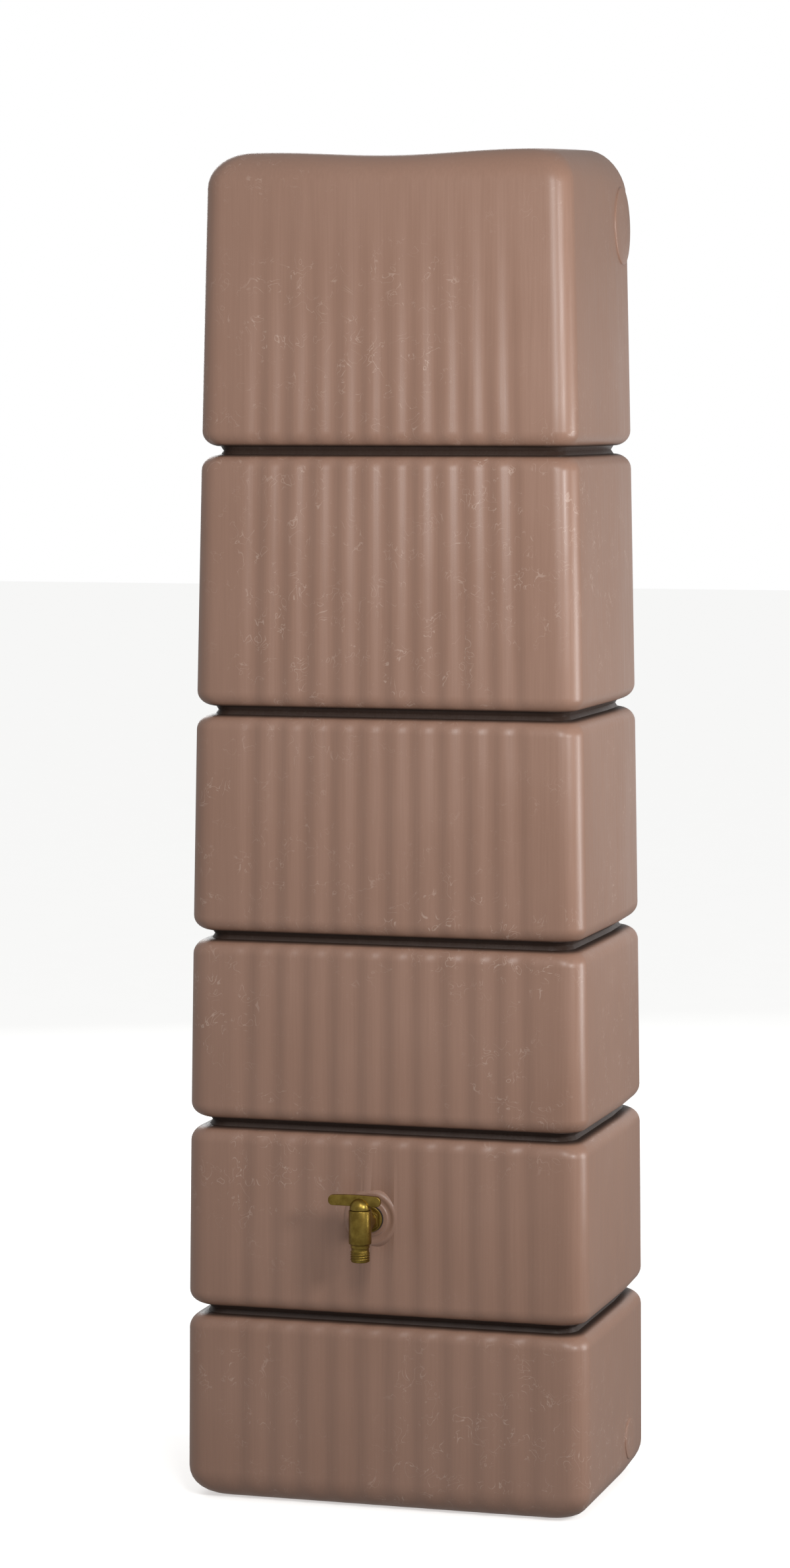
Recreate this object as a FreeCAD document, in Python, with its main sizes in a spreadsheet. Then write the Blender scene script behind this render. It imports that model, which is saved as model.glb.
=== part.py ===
import FreeCAD, Part
import math
import os

import Sketcher
from FreeCAD import Placement, Rotation, Vector

# Slimline wall tank for rainwater: one blow-moulded shell of five grooves and six blocks, a lift-off lid
# sunk in its top, and a quarter-turn tap screwed into a brass bush in the front wall.
# Millimetres. +Z up, front towards -Y, origin at the middle of the base.

DOC = FreeCAD.newDocument("slimline_tank")
SHEET = DOC.addObject("Spreadsheet::Sheet", "Sizes")

SIZES = [
    # Tank shell: overall form
    ("height", 1850.0, "height over the front of the top"),
    ("top_slope", 13.0, "how much higher the top is at the rear, so that rain runs off forwards"),
    ("base_half_width", 288.0, "half width at the parting crease, at the base"),
    ("width_taper", 33.0, "how much each side leans in by the top"),
    ("depth", 384.0, "front to back at the base"),
    ("front_lean", 8.0, "how much the front leans back by the top"),
    ("crease_y", 66.0, "where the mould's parting crease runs on the sides"),
    ("crease_out", 1.5, "how far the crease stands out from the front corner"),
    ("rear_draft", 2.6, "draft of the side behind the crease, degrees"),
    ("front_corner", 32.0, "radius of the upright front corners"),
    ("rear_corner", 42.0, "radius of the upright rear corners"),
    ("base_round", 42.0, "rounding round the base"),
    ("top_round", 48.0, "rounding round the top"),
    ("wall", 3.5, "moulded wall"),
    # Grooves between the blocks
    ("groove_1", 264.0, "height of the lowest groove"),
    ("groove_2", 526.0, "height of the second groove"),
    ("groove_3", 785.0, "height of the third groove"),
    ("groove_4", 1094.0, "height of the fourth groove"),
    ("groove_5", 1448.0, "height of the top groove"),
    ("groove_gap", 11.0, "opening of a groove between two blocks"),
    ("block_round", 21.0, "rounding of a block's edge into its groove"),
    ("groove_tail", 3.0, "depth of the groove's pointed floor past the rounding"),
    # Flutes in the front
    ("flute_depth", 3.6, "depth of a flute"),
    ("flute_margin", 24.8, "plain front beyond the outer flutes, at the base"),
    ("flute_narrowing", 0.194, "by what share the flutes narrow by the top"),
    # Saddle in the top
    ("saddle_depth", 6.0, "dip along the middle of the top"),
    ("saddle_margin", 75.0, "half the top's width beyond the dip on each side"),
    # Round pads on both sides, where a link or an overflow is drilled
    ("pad_upper_radius", 54.0, "upper side pad"),
    ("pad_upper_height", 1757.0, "height of the upper pad's centre"),
    ("pad_upper_rise", 2.2, "how far the upper pad stands out"),
    ("pad_lower_radius", 29.0, "lower side pad"),
    ("pad_lower_height", 63.0, "height of the lower pad's centre"),
    ("pad_lower_rise", 1.4, "how far the lower pad stands out"),
    ("pad_root", 21.0, "how far a pad's root runs into the wall"),
    # Filler opening and lid
    ("recess_radius", 90.0, "round recess that the lid lies in"),
    ("recess_drop", 22.0, "depth of the recess below the shoulders"),
    ("neck_radius", 75.0, "filler opening"),
    ("neck_drop", 15.0, "collar under the recess"),
    ("lid_gap", 0.4, "play of the lid in its opening"),
    ("lid_margin", 3.0, "play of the lid's rim in the recess"),
    ("lid_wall", 3.0, "wall of the lid"),
    ("lid_skirt", 16.0, "depth of the lid's skirt"),
    ("lid_rise", 6.0, "how far the lid's crown stands over its rim"),
    ("lid_crown_radius", 66.0, "crown of the lid"),
    ("lid_dish_radius", 42.0, "hand dish in the lid"),
    ("lid_dish_drop", 9.6, "depth of the dish under the crown"),
    ("lid_grip_length", 74.0, "grip bar across the dish"),
    ("lid_grip_width", 12.0, "width of the grip bar"),
    # Tap seat in the front wall
    ("tap_x", -16.0, "the tap's place across the front"),
    ("tap_height", 406.5, "height of the tap's inlet"),
    ("seat_radius", 23.6, "flat seat round the tap"),
    ("seat_rise", 1.2, "how far the seat stands over the flutes"),
    ("seat_depth", 14.0, "thickness of the boss behind the seat"),
    ("moat_radius", 29.6, "sunk ring round the seat"),
    ("moat_depth", 1.3, "depth of the sunk ring"),
    ("rim_radius", 33.4, "raised rim round the sunk ring"),
    ("rim_foot", 40.4, "foot of the rim's slope, inside the wall"),
    ("rim_sink", 1.4, "how far that foot lies behind the flutes' valleys"),
    ("fit_gap", 0.05, "radial play of a fixed round fit"),
    ("insert_radius", 17.0, "brass bush in the boss"),
    ("insert_flange", 20.5, "flange of the bush inside the tank"),
    ("insert_flange_thick", 2.5, "thickness of that flange"),
    ("insert_groove", 0.8, "depth of the bush's holding groove"),
    ("insert_groove_start", 5.6, "front side of that groove, behind the seat"),
    ("insert_groove_end", 8.4, "rear side of that groove, behind the seat"),
    # Tap: inlet
    ("shank_radius", 13.2, "inlet thread"),
    ("shank_length", 13.0, "length of the inlet thread"),
    ("seal_thick", 2.0, "flat rubber ring under the tap's flange"),
    ("seal_radius", 18.6, "outer radius of the rubber ring"),
    ("flange_radius", 18.0, "tap's flange"),
    ("flange_thick", 3.6, "thickness of the flange"),
    ("hex_flats", 28.0, "hexagon across its flats"),
    ("hex_length", 7.5, "length of the hexagon"),
    ("collar_radius", 12.2, "round collar before the hexagon"),
    ("inlet_bore", 7.5, "water way of the inlet"),
    ("tap_reach", 48.0, "barrel's axis in front of the seat's face"),
    # Tap: barrel and spout
    ("barrel_radius", 15.4, "upright barrel"),
    ("barrel_length", 46.8, "length of the barrel"),
    ("barrel_edge", 1.0, "bevel on the barrel's ends"),
    ("inlet_rise", 26.4, "inlet's axis over the barrel's lower end"),
    ("neck_band_radius", 12.9, "band under the barrel"),
    ("neck_band_length", 4.4, "length of the band"),
    ("spout_neck_radius", 12.3, "neck over the hose thread"),
    ("spout_neck_length", 4.4, "length of that neck"),
    ("spout_radius", 13.2, "hose thread"),
    ("spout_length", 15.4, "length of the hose thread"),
    ("spout_bore", 8.0, "water way of the spout"),
    ("plug_bore", 11.5, "bore that the plug turns in"),
    ("plug_seat", 4.0, "height of the plug's seat over the barrel's lower end"),
    # Tap: plug, rings and clip
    ("plug_play", 0.08, "radial play of the plug"),
    ("ring_play", 0.05, "radial play of a rubber ring in the bore"),
    ("end_play", 0.3, "play of the plug along its axis"),
    ("plug_length", 38.4, "plug without its stem"),
    ("plug_hollow", 8.0, "hollow of the plug"),
    ("plug_crown", 7.0, "solid top of the plug"),
    ("port_radius", 6.4, "side port of the plug"),
    ("ring_half", 0.9, "half the square section of a rubber ring"),
    ("lower_ring_height", 8.6, "lower ring over the plug's end"),
    ("upper_ring_height", 34.2, "upper ring over the plug's end"),
    ("clip_thick", 1.0, "spring clip that holds the plug in"),
    ("clip_bite", 0.9, "how far the clip reaches into the barrel"),
    ("clip_inner", 8.6, "inner radius of the clip"),
    ("clip_opening", 9.0, "gap between the clip's ends"),
    ("stem_side", 9.4, "square stem in the lever's hub"),
    ("stem_length", 13.6, "stem over the plug"),
    ("stem_fit", 0.05, "play of the stem in the hub"),
    # Tap: lever
    ("dome_radius", 14.3, "domed hub of the lever"),
    ("dome_lift", 0.5, "gap between barrel and hub"),
    ("dome_band", 1.6, "upright band under the dome"),
    ("blade_long", 44.6, "long arm of the blade"),
    ("blade_short", 29.0, "short arm of the blade"),
    ("blade_height", 15.4, "height of the blade"),
    ("blade_crown", 1.6, "arch of the blade's upper edge"),
    ("blade_lift", 4.6, "blade's lower edge over the hub's lower end"),
    ("blade_thick", 6.6, "thickness of the blade"),
    ("blade_end", 6.6, "rounding of the blade's ends"),
]

for index, (alias, number, note) in enumerate(SIZES, start=1):
    SHEET.set(f"A{index}", note)
    SHEET.set(f"B{index}", str(number))
    SHEET.setAlias(f"B{index}", alias)
DOC.recompute()


def size(alias):
    """The number in the sheet under this alias."""
    return float(getattr(SHEET, alias))


# The moulded skin. Each level of it is a closed row of poles, and a band between levels is a set of spline
# patches, one for each stretch of the outline, that share their poles where they meet.

FLUTES = 11
POLES_PER_FLUTE = 4
SADDLE_STEP_COUNT = 10
CORNER_CHORDS = 3
BEZIER_QUARTER = 0.5523
SEW_GAP = 0.002
PAD_PROBE = 0.2
TAPER_POWER = 1.5


def arc_poles(centre_x, centre_y, radius, start, end):
    """Four poles of a cubic that follows an arc in plan, each (x, y)."""
    reach = 4 / 3 * math.tan((end - start) / 4) * radius
    first = (centre_x + radius * math.cos(start), centre_y + radius * math.sin(start))
    last = (centre_x + radius * math.cos(end), centre_y + radius * math.sin(end))
    second = (first[0] - reach * math.sin(start), first[1] + reach * math.cos(start))
    third = (last[0] + reach * math.sin(end), last[1] - reach * math.cos(end))
    return [first, second, third, last]


def corner(centre_x, centre_y, radius, start, end, z, inside):
    """The stretches of one corner: a single cubic, or straight chords on the inside."""
    if not inside:
        return [[Vector(x, y, z) for x, y in arc_poles(centre_x, centre_y, radius, start, end)]]
    turns = [start + (end - start) * k / CORNER_CHORDS for k in range(CORNER_CHORDS + 1)]
    spots = [Vector(centre_x + radius * math.cos(turn), centre_y + radius * math.sin(turn), z) for turn in turns]
    return [[first, second] for first, second in zip(spots, spots[1:])]


def face_y(z):
    """The front face at a height, at the flutes' crests."""
    return -size("depth") / 2 + size("front_lean") * (z / size("height")) ** 2


def crease_x(z):
    """Half the width at the parting crease at a height."""
    return size("base_half_width") - size("width_taper") * (z / size("height")) ** TAPER_POWER


def front_reach(z, inset, radius):
    """Half the width of the front between its corners at a level."""
    centre_y = face_y(z) + inset + radius
    return crease_x(z) - inset - (size("crease_y") - centre_y) * math.tan(front_draft()) \
        - radius / math.cos(front_draft())


def front_draft():
    """Draft of the side in front of the crease."""
    return math.atan2(size("crease_out"), size("crease_y") + size("depth") / 2)


def flute_pitch(z):
    """Pitch of the flutes at a height: between two plain margins at the base, and narrower towards the top."""
    at_base = 2 * (front_reach(0.0, 0.0, size("front_corner")) - size("flute_margin")) / FLUTES
    return at_base * (1 - size("flute_narrowing") * z / size("height"))


def top_form(spot, share):
    """A pole of the top, moved by a share of the saddle's dip and of the slope."""
    half = crease_x(size("height")) - size("saddle_margin")
    sag = size("saddle_depth") * 0.5 * (1 + math.cos(math.pi * spot.x / half)) if abs(spot.x) < half else 0.0
    front = face_y(size("height")) + size("top_round")
    rear = size("depth") / 2 - size("top_round")
    slope = size("top_slope") * (spot.y - front) / (rear - front)
    return spot + Vector(0, 0, share * (slope - sag))


def straight_poles(z, y, start, end, share):
    """Poles of a straight stretch across the tank. In the top they are many, at even steps of its parameter."""
    if share is None:
        return [Vector(start, y, z), Vector(end, y, z)]
    steps = [0, 1 / 3] + list(range(1, SADDLE_STEP_COUNT)) + [SADDLE_STEP_COUNT - 1 / 3, SADDLE_STEP_COUNT]
    return [Vector(start + (end - start) * step / SADDLE_STEP_COUNT, y, z) for step in steps]


def fluted_poles(z, y, reach, flutes):
    """Poles of the front's outline. flutes is half the flutes' depth there."""
    step = flute_pitch(z) / POLES_PER_FLUTE
    half_count = FLUTES * POLES_PER_FLUTE // 2
    # a cubic through evenly spaced poles keeps two thirds of a wave of four poles
    swell = 1.5 * flutes
    wave = [Vector(k * step, y + flutes + swell * math.cos(2 * math.pi * k / POLES_PER_FLUTE), z)
            for k in range(1 - half_count, half_count)]
    end = half_count * step
    margin = (reach - end) / 2
    left = [Vector(-reach, y, z), Vector(-end - margin, y, z), Vector(-end, y, z)]
    right = [Vector(end, y, z), Vector(end + margin, y, z), Vector(reach, y, z)]
    return left + wave + right


def level(z, inset, flutes=None, share=None, inside=False):
    """All stretches of the outline at one level, each as a list of poles, anticlockwise from the front.

    In the top, share says how much of its saddle and slope the level has. The inside keeps its wall behind the
    flutes' valleys.
    """
    front_r = size("front_corner") * math.exp(-inset / size("front_corner"))
    rear_r = size("rear_corner") * math.exp(-inset / size("rear_corner"))
    front = face_y(z) + inset + (size("flute_depth") if inside else 0.0)
    rear = size("depth") / 2 - inset
    crease = Vector(crease_x(z) - inset, size("crease_y"), z)
    lead = front_draft()
    draft = math.radians(size("rear_draft"))
    front_cy = front + front_r
    front_cx = crease.x - (crease.y - front_cy) * math.tan(lead) - front_r / math.cos(lead)
    rear_cy = rear - rear_r
    rear_cx = crease.x - (rear_cy - crease.y) * math.tan(draft) - rear_r / math.cos(draft)
    front_corner = corner(front_cx, front_cy, front_r, -math.pi / 2, -lead, z, inside)
    rear_corner = corner(rear_cx, rear_cy, rear_r, draft, math.pi / 2, z, inside)
    side = [[front_corner[-1][-1], crease], [crease, rear_corner[0][0]]]
    right = front_corner + side + rear_corner
    left = [[Vector(-v.x, v.y, v.z) for v in reversed(poles)] for poles in reversed(right)]
    if flutes is None:
        face = straight_poles(z, front, -front_cx, front_cx, share)
    else:
        face = fluted_poles(z, front, front_cx, flutes)
    back = straight_poles(z, rear, rear_cx, -rear_cx, share)
    return [[top_form(spot, share or 0.0) for spot in poles] for poles in [face] + right + [back] + left]


def spline_knots(count, degree):
    """Multiplicities and knots of a clamped spline of evenly spaced spans."""
    spans = count - degree
    return [degree + 1] + [1] * (spans - 1) + [degree + 1], [float(k) for k in range(spans + 1)]


def patch(rows):
    """One face over rows of poles."""
    across, up = len(rows[0]), len(rows)
    degree_across, degree_up = min(3, across - 1), min(3, up - 1)
    across_mults, across_knots = spline_knots(across, degree_across)
    up_mults, up_knots = spline_knots(up, degree_up)
    poles = [[rows[j][i] for j in range(up)] for i in range(across)]
    surface = Part.BSplineSurface()
    surface.buildFromPolesMultsKnots(
        poles, across_mults, up_mults, across_knots, up_knots, False, False, degree_across, degree_up)
    return surface.toShape()


def band(levels):
    """The faces between levels: two levels give a straight band, four a rounded one."""
    return [patch([stretches[k] for stretches in levels]) for k in range(len(levels[0]))]


def edge(poles):
    """The edge that a row of poles gives."""
    degree = min(3, len(poles) - 1)
    mults, knots = spline_knots(len(poles), degree)
    curve = Part.BSplineCurve()
    curve.buildFromPolesMultsKnots(poles, mults, knots, False, degree)
    return curve.toShape()


def quarter(start, end, upright_first):
    """Heights and insets of a quarter round's four poles, from start to end, each (height, inset)."""
    (z0, in0), (z1, in1) = start, end
    if upright_first:
        return [start, (z0 + BEZIER_QUARTER * (z1 - z0), in0), (z1, in1 + BEZIER_QUARTER * (in0 - in1)), end]
    return [start, (z0, in0 + BEZIER_QUARTER * (in1 - in0)), (z1 + BEZIER_QUARTER * (z0 - z1), in1), end]


def chords(start, end, upright_first):
    """The same quarter round as a start, a middle and an end, for straight bands."""
    (z0, in0), (z1, in1) = start, end
    share = math.sin(math.pi / 4)
    rise, run = (share, 1 - share) if upright_first else (1 - share, share)
    return [start, (z0 + rise * (z1 - z0), in0 + run * (in1 - in0)), end]


def top_faces(rim):
    """The top: a ruled saddle from front to rear, and a flat cheek on each side."""
    edges = [edge(poles) for poles in rim]
    middle = len(rim) // 2
    front, rear = rim[0], rim[middle]
    right = Part.Wire(edges[1:middle] + [Part.makeLine(rear[0], front[-1])])
    left = Part.Wire(edges[middle + 1:] + [Part.makeLine(front[0], rear[-1])])
    return [Part.makeRuledSurface(edges[0], edges[middle]), Part.Face(right), Part.Face(left)]


def closed(faces):
    """The solid that faces enclose."""
    sewn = Part.makeCompound(faces)
    sewn.sewShape(SEW_GAP)
    solid = Part.makeSolid(sewn.Shells[0])
    if solid.Volume < 0:
        solid.reverse()
    return solid


def groove_levels():
    """For each groove: its centre, and where its edge rounding leaves the block below and above."""
    half = size("groove_gap") / 2
    for number in range(1, 6):
        centre = size(f"groove_{number}")
        yield centre, centre - half - size("block_round"), centre + half + size("block_round")


def outer_skin():
    """The tank's outer form, with flutes that fade into the roundings and over the top block."""
    base, top, block = size("base_round"), size("top_round"), size("block_round")
    half = size("groove_gap") / 2
    floor = block + size("groove_tail")
    full = size("flute_depth") / 2
    fading = full / 3
    faces = []

    def rounding(start, end, upright_first, flutes):
        spots = quarter(start, end, upright_first)
        rows = [level(z, inset, flute) for (z, inset), flute in zip(spots, flutes)]
        faces.extend(band(rows))
        return rows[0], rows[-1]

    bottom, last = rounding((0.0, base), (base, 0.0), False, (0.0, 0.0, full, full))
    for centre, below, above in groove_levels():
        faces.extend(band([last, level(below, 0.0, full)]))
        edge_below = rounding((below, 0.0), (centre - half, block), True, (full, full, fading, 0.0))[1]
        plain = [level(z, inset, 0.0) for z, inset in (
            (centre - half, block), (centre, floor), (centre + half, block))]
        faces.extend(band(plain[:2]) + band(plain[1:]))
        last = rounding((centre + half, block), (above, 0.0), False, (0.0, fading, full, full))[1]
    shoulder = size("height") - top
    faces.extend(band([last, level(shoulder, 0.0, 0.0)]))
    spots = quarter((shoulder, 0.0), (size("height"), top), True)
    rows = [level(z, inset, 0.0, share) for (z, inset), share in zip(spots, (0.0, 0.0, 1.0, 1.0))]
    faces.extend(band(rows))
    faces.append(Part.Face(Part.Wire([edge(poles) for poles in bottom])))
    return closed(faces + top_faces(rows[-1]))


def inner_skin():
    """The cavity: the same form one wall further in, without flutes and with straight bands at the roundings."""
    wall, base, top, block = size("wall"), size("base_round"), size("top_round"), size("block_round")
    half = size("groove_gap") / 2 + wall
    floor = block + size("groove_tail") + wall * math.sqrt(2)
    spots = chords((wall, base), (base, wall), False)
    for centre, below, above in groove_levels():
        spots += chords((below, wall), (centre - half, block), True)
        spots.append((centre, floor))
        spots += chords((centre + half, block), (above, wall), False)
    shoulder = size("height") - top
    spots.append((shoulder, wall))
    rows = [level(z, inset, inside=True) for z, inset in spots]
    over = chords((shoulder, wall), (size("height") - wall, top), True)
    saddle = [level(z, inset, share=share, inside=True) for (z, inset), share in zip(over, (0.0, 0.5, 1.0))]
    faces = []
    for lower, upper in list(zip(rows, rows[1:])) + list(zip(saddle, saddle[1:])):
        faces.extend(band([lower, upper]))
    faces.append(Part.Face(Part.Wire([edge(poles) for poles in rows[0]])))
    return closed(faces + top_faces(saddle[-1]))


def feature(name, shape):
    """A plain document object that holds a finished shape."""
    made = DOC.addObject("Part::Feature", name)
    made.Shape = shape
    return made


def bind(thing, **expressions):
    """Tie properties of an object to the sheet. Two underscores stand for a dot."""
    for key, expression in expressions.items():
        thing.setExpression(key.replace("__", "."), expression)
    return thing


def place(thing, x="0", y="0", z="0"):
    """Tie an object's place to the sheet."""
    return bind(thing, Placement__Base__x=x, Placement__Base__y=y, Placement__Base__z=z)


TO_FRONT = Rotation(Vector(1, 0, 0), 90)


def cylinder(name, radius, height, x="0", y="0", z="0", turn=None):
    """A cylinder along +Z, or along its own turned axis, tied to the sheet."""
    made = DOC.addObject("Part::Cylinder", name)
    bind(made, Radius=radius, Height=height)
    if turn is not None:
        made.Placement = Placement(Vector(), turn)
    return place(made, x, y, z)


def cut(name, base, tool):
    """base without tool."""
    made = DOC.addObject("Part::Cut", name)
    made.Base = base
    made.Tool = tool
    return made


def fuse(name, shapes):
    """Several objects as one."""
    made = DOC.addObject("Part::MultiFuse", name)
    made.Shapes = shapes
    return made


def named(thing, label):
    """A finished sub-part under the name of its file."""
    thing.Label = label
    return thing


# Places that several pieces share, as expressions on the sheet
FACE_Y = "(-Sizes.depth / 2 + Sizes.front_lean * (Sizes.tap_height / Sizes.height) ^ 2)"
SEAT_Y = f"({FACE_Y} - Sizes.seat_rise)"
BARREL_Y = f"({SEAT_Y} - Sizes.tap_reach)"
SPOUT_TOTAL = "(Sizes.spout_length + Sizes.spout_neck_length + Sizes.neck_band_length)"
SPOUT_Z = f"(Sizes.tap_height - Sizes.inlet_rise - {SPOUT_TOTAL})"
INLET_Z = f"({SPOUT_TOTAL} + Sizes.inlet_rise)"
RECESS_Z = "(Sizes.height - Sizes.recess_drop)"
PLUG_Z = f"({SPOUT_TOTAL} + Sizes.plug_seat + Sizes.end_play)"
BARREL_TOP = f"({SPOUT_TOTAL} + Sizes.barrel_length)"


def side_pad(name, side, radius, rise, y, z):
    """A round pad on a side wall, square to the wall's slope there."""
    behind = y > size("crease_y")
    draft = math.tan(math.radians(size("rear_draft"))) if behind else 0.0
    slope = TAPER_POWER * size("width_taper") * (z / size("height")) ** (TAPER_POWER - 1) / size("height")
    out = Vector(side, draft, slope).normalize()
    x = side * (crease_x(z) - (y - size("crease_y")) * draft)
    made = DOC.addObject("Part::Cylinder", name)
    bind(made, Radius=radius, Height=f"Sizes.pad_root + {rise}")
    turn = Rotation(Vector(0, 0, 1), out)
    if side > 0:
        turn = turn * Rotation(Vector(0, 0, 1), 180)
    made.Placement = Placement(Vector(x, y, z) - out * size("pad_root"), turn)
    return made


def make_tank_shell():
    """The blow-moulded tank: skin, pads, tap boss and the lid's recess."""
    outer = feature("outer_skin_form", outer_skin())
    inner = feature("inner_skin_form", inner_skin())
    pads = []
    for side, word in ((1, "right"), (-1, "left")):
        upper_y = size("crease_y") + size("pad_upper_radius") + size("pad_upper_rise")
        pads.append(side_pad(f"upper_pad_{word}", side, "Sizes.pad_upper_radius", "Sizes.pad_upper_rise",
                             upper_y, size("pad_upper_height")))
        pads.append(side_pad(f"lower_pad_{word}", side, "Sizes.pad_lower_radius", "Sizes.pad_lower_rise",
                             size("crease_y"), size("pad_lower_height")))
    boss_y = f"({SEAT_Y} + Sizes.seat_depth)"
    boss = cylinder("tap_boss", "Sizes.seat_radius", "Sizes.seat_depth",
                    "Sizes.tap_x", boss_y, "Sizes.tap_height", TO_FRONT)
    rim = DOC.addObject("Part::Cone", "seat_rim")
    slope = "(Sizes.seat_rise + Sizes.flute_depth + Sizes.rim_sink)"
    bind(rim, Radius1="Sizes.rim_foot", Radius2="Sizes.rim_radius", Height=slope)
    rim.Placement = Placement(Vector(), TO_FRONT)
    place(rim, "Sizes.tap_x", f"{SEAT_Y} + {slope}", "Sizes.tap_height")
    form = fuse("outer_form", [outer, boss, rim] + pads)
    moat_y = f"({SEAT_Y} + Sizes.moat_depth)"
    moat_disc = cylinder("moat_disc", "Sizes.moat_radius", "2 * Sizes.moat_depth",
                         "Sizes.tap_x", moat_y, "Sizes.tap_height", TO_FRONT)
    moat_core = cylinder("moat_core", "Sizes.seat_radius", "2 * Sizes.moat_depth",
                         "Sizes.tap_x", moat_y, "Sizes.tap_height", TO_FRONT)
    moat = cut("moat", moat_disc, moat_core)

    recess_wall = cylinder("recess_wall", "Sizes.recess_radius + Sizes.wall",
                           "Sizes.recess_drop + Sizes.top_slope + 2 * Sizes.wall", z=f"{RECESS_Z} - Sizes.wall")
    neck_wall = cylinder("neck_wall", "Sizes.neck_radius + Sizes.wall", "Sizes.neck_drop + Sizes.recess_drop",
                         z=f"{RECESS_Z} - Sizes.neck_drop")
    inner_boss = cylinder("tap_boss_inside", "Sizes.seat_radius", "Sizes.seat_depth",
                          "Sizes.tap_x", boss_y, "Sizes.tap_height", TO_FRONT)
    void = cut("inner_void", inner, fuse("inner_walls", [recess_wall, neck_wall, inner_boss]))
    hollow = cut("hollow_form", form, void)
    recess = cylinder("lid_recess", "Sizes.recess_radius", "2 * Sizes.recess_drop", z=RECESS_Z)
    neck = cylinder("filler_opening", "Sizes.neck_radius", "Sizes.neck_drop + Sizes.recess_drop",
                    z=f"{RECESS_Z} - Sizes.neck_drop - Sizes.wall")
    bore = cylinder("insert_bore", "Sizes.insert_radius + Sizes.fit_gap", "Sizes.seat_depth + 2 * Sizes.wall",
                    "Sizes.tap_x", f"{SEAT_Y} + Sizes.seat_depth + Sizes.wall", "Sizes.tap_height", TO_FRONT)
    shell = cut("open_form", hollow, fuse("openings", [recess, neck, bore, moat]))
    return named(shell, "tank_shell")


def number(expression):
    """What an expression on the sheet comes to."""
    return float(SHEET.evalExpression(expression.replace("Sizes.", "")))


def origin_part(body, role):
    """The body's own plane or axis of this role."""
    return next(part for part in body.Origin.OriginFeatures if part.Role == role)


def sketch_on(body, name, role, lift="0", rise="0"):
    """A sketch on one of the body's own planes. lift moves it off the plane, rise along its upright axis."""
    made = body.newObject("Sketcher::SketchObject", name)
    made.AttachmentSupport = (origin_part(body, role), "")
    made.MapMode = "FlatFace"
    bind(made, AttachmentOffset__Base__z=lift, AttachmentOffset__Base__y=rise)
    return made


def pin_corner(sketch, line, corner):
    """Fix a line's start to a place that the sheet gives."""
    for kind, axis, expression in (("DistanceX", -2, corner[0]), ("DistanceY", -1, corner[1])):
        value = number(expression)
        if value == 0:
            sketch.addConstraint(Sketcher.Constraint("PointOnObject", line, 1, axis))
            continue
        index = sketch.addConstraint(Sketcher.Constraint(kind, -1, 1, line, 1, value))
        sketch.setExpression(f"Constraints[{index}]", expression)


def outline(sketch, corners):
    """A closed outline of straight lines through corners, each a pair of expressions on the sheet."""
    numbers = [[number(part) for part in spot] for spot in corners]
    count = len(corners)
    for k in range(count):
        start, end = numbers[k], numbers[(k + 1) % count]
        sketch.addGeometry(Part.LineSegment(Vector(*start, 0), Vector(*end, 0)))
    for k in range(count):
        sketch.addConstraint(Sketcher.Constraint("Coincident", k, 2, (k + 1) % count, 1))
    for k, spot in enumerate(corners):
        pin_corner(sketch, k, spot)


def circle(sketch, radius, x="0", y="0"):
    """A circle whose radius and centre the sheet gives."""
    sketch.addGeometry(Part.Circle(Vector(number(x), number(y), 0), Vector(0, 0, 1), number(radius)))
    index = sketch.addConstraint(Sketcher.Constraint("Radius", 0, number(radius)))
    sketch.setExpression(f"Constraints[{index}]", radius)
    for kind, axis, expression in (("DistanceX", -2, x), ("DistanceY", -1, y)):
        value = number(expression)
        if value == 0:
            sketch.addConstraint(Sketcher.Constraint("PointOnObject", 0, 3, axis))
            continue
        index = sketch.addConstraint(Sketcher.Constraint(kind, -1, 1, 0, 3, value))
        sketch.setExpression(f"Constraints[{index}]", expression)


def turn_profile(body, kind, sketch, axis="V_Axis"):
    """A Revolution or a Groove of a sketch about one of its own axes."""
    made = body.newObject(f"PartDesign::{kind}", f"{sketch.Name}_{kind.lower()}")
    made.Profile = sketch
    made.ReferenceAxis = (sketch, [axis])
    made.Angle = 360
    sketch.Visibility = False
    return made


def extrude(body, kind, sketch, length, reverse=False, midplane=False):
    """A Pad or a Pocket of a sketch."""
    made = body.newObject(f"PartDesign::{kind}", f"{sketch.Name}_{kind.lower()}")
    made.Profile = sketch
    made.Reversed = reverse
    made.Midplane = midplane
    bind(made, Length=length)
    return made


def new_body(label):
    """A body for one turned or milled piece."""
    return named(DOC.addObject("PartDesign::Body", label), label)


def square(half):
    """Corners of a square about the origin."""
    return [(f"-{half}", f"-{half}"), (half, f"-{half}"), (half, half), (f"-{half}", half)]


def make_threaded_insert():
    """Brass bush in the boss, with a holding groove and a flange inside the tank."""
    body = new_body("threaded_insert")
    profile = sketch_on(body, "insert_profile", "YZ_Plane")
    length = "Sizes.seat_depth"
    flange = f"({length} + Sizes.insert_flange_thick)"
    bore = "(Sizes.shank_radius + Sizes.fit_gap)"
    groove = "(Sizes.insert_radius - Sizes.insert_groove)"
    outline(profile, [
        ("0", bore),
        ("0", "Sizes.insert_radius"),
        ("Sizes.insert_groove_start", "Sizes.insert_radius"),
        ("Sizes.insert_groove_start", groove),
        ("Sizes.insert_groove_end", groove),
        ("Sizes.insert_groove_end", "Sizes.insert_radius"),
        (length, "Sizes.insert_radius"),
        (length, "Sizes.insert_flange"),
        (flange, "Sizes.insert_flange"),
        (flange, bore),
    ])
    turn_profile(body, "Revolution", profile, "H_Axis")
    return place(body, "Sizes.tap_x", SEAT_Y, "Sizes.tap_height")


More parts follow.
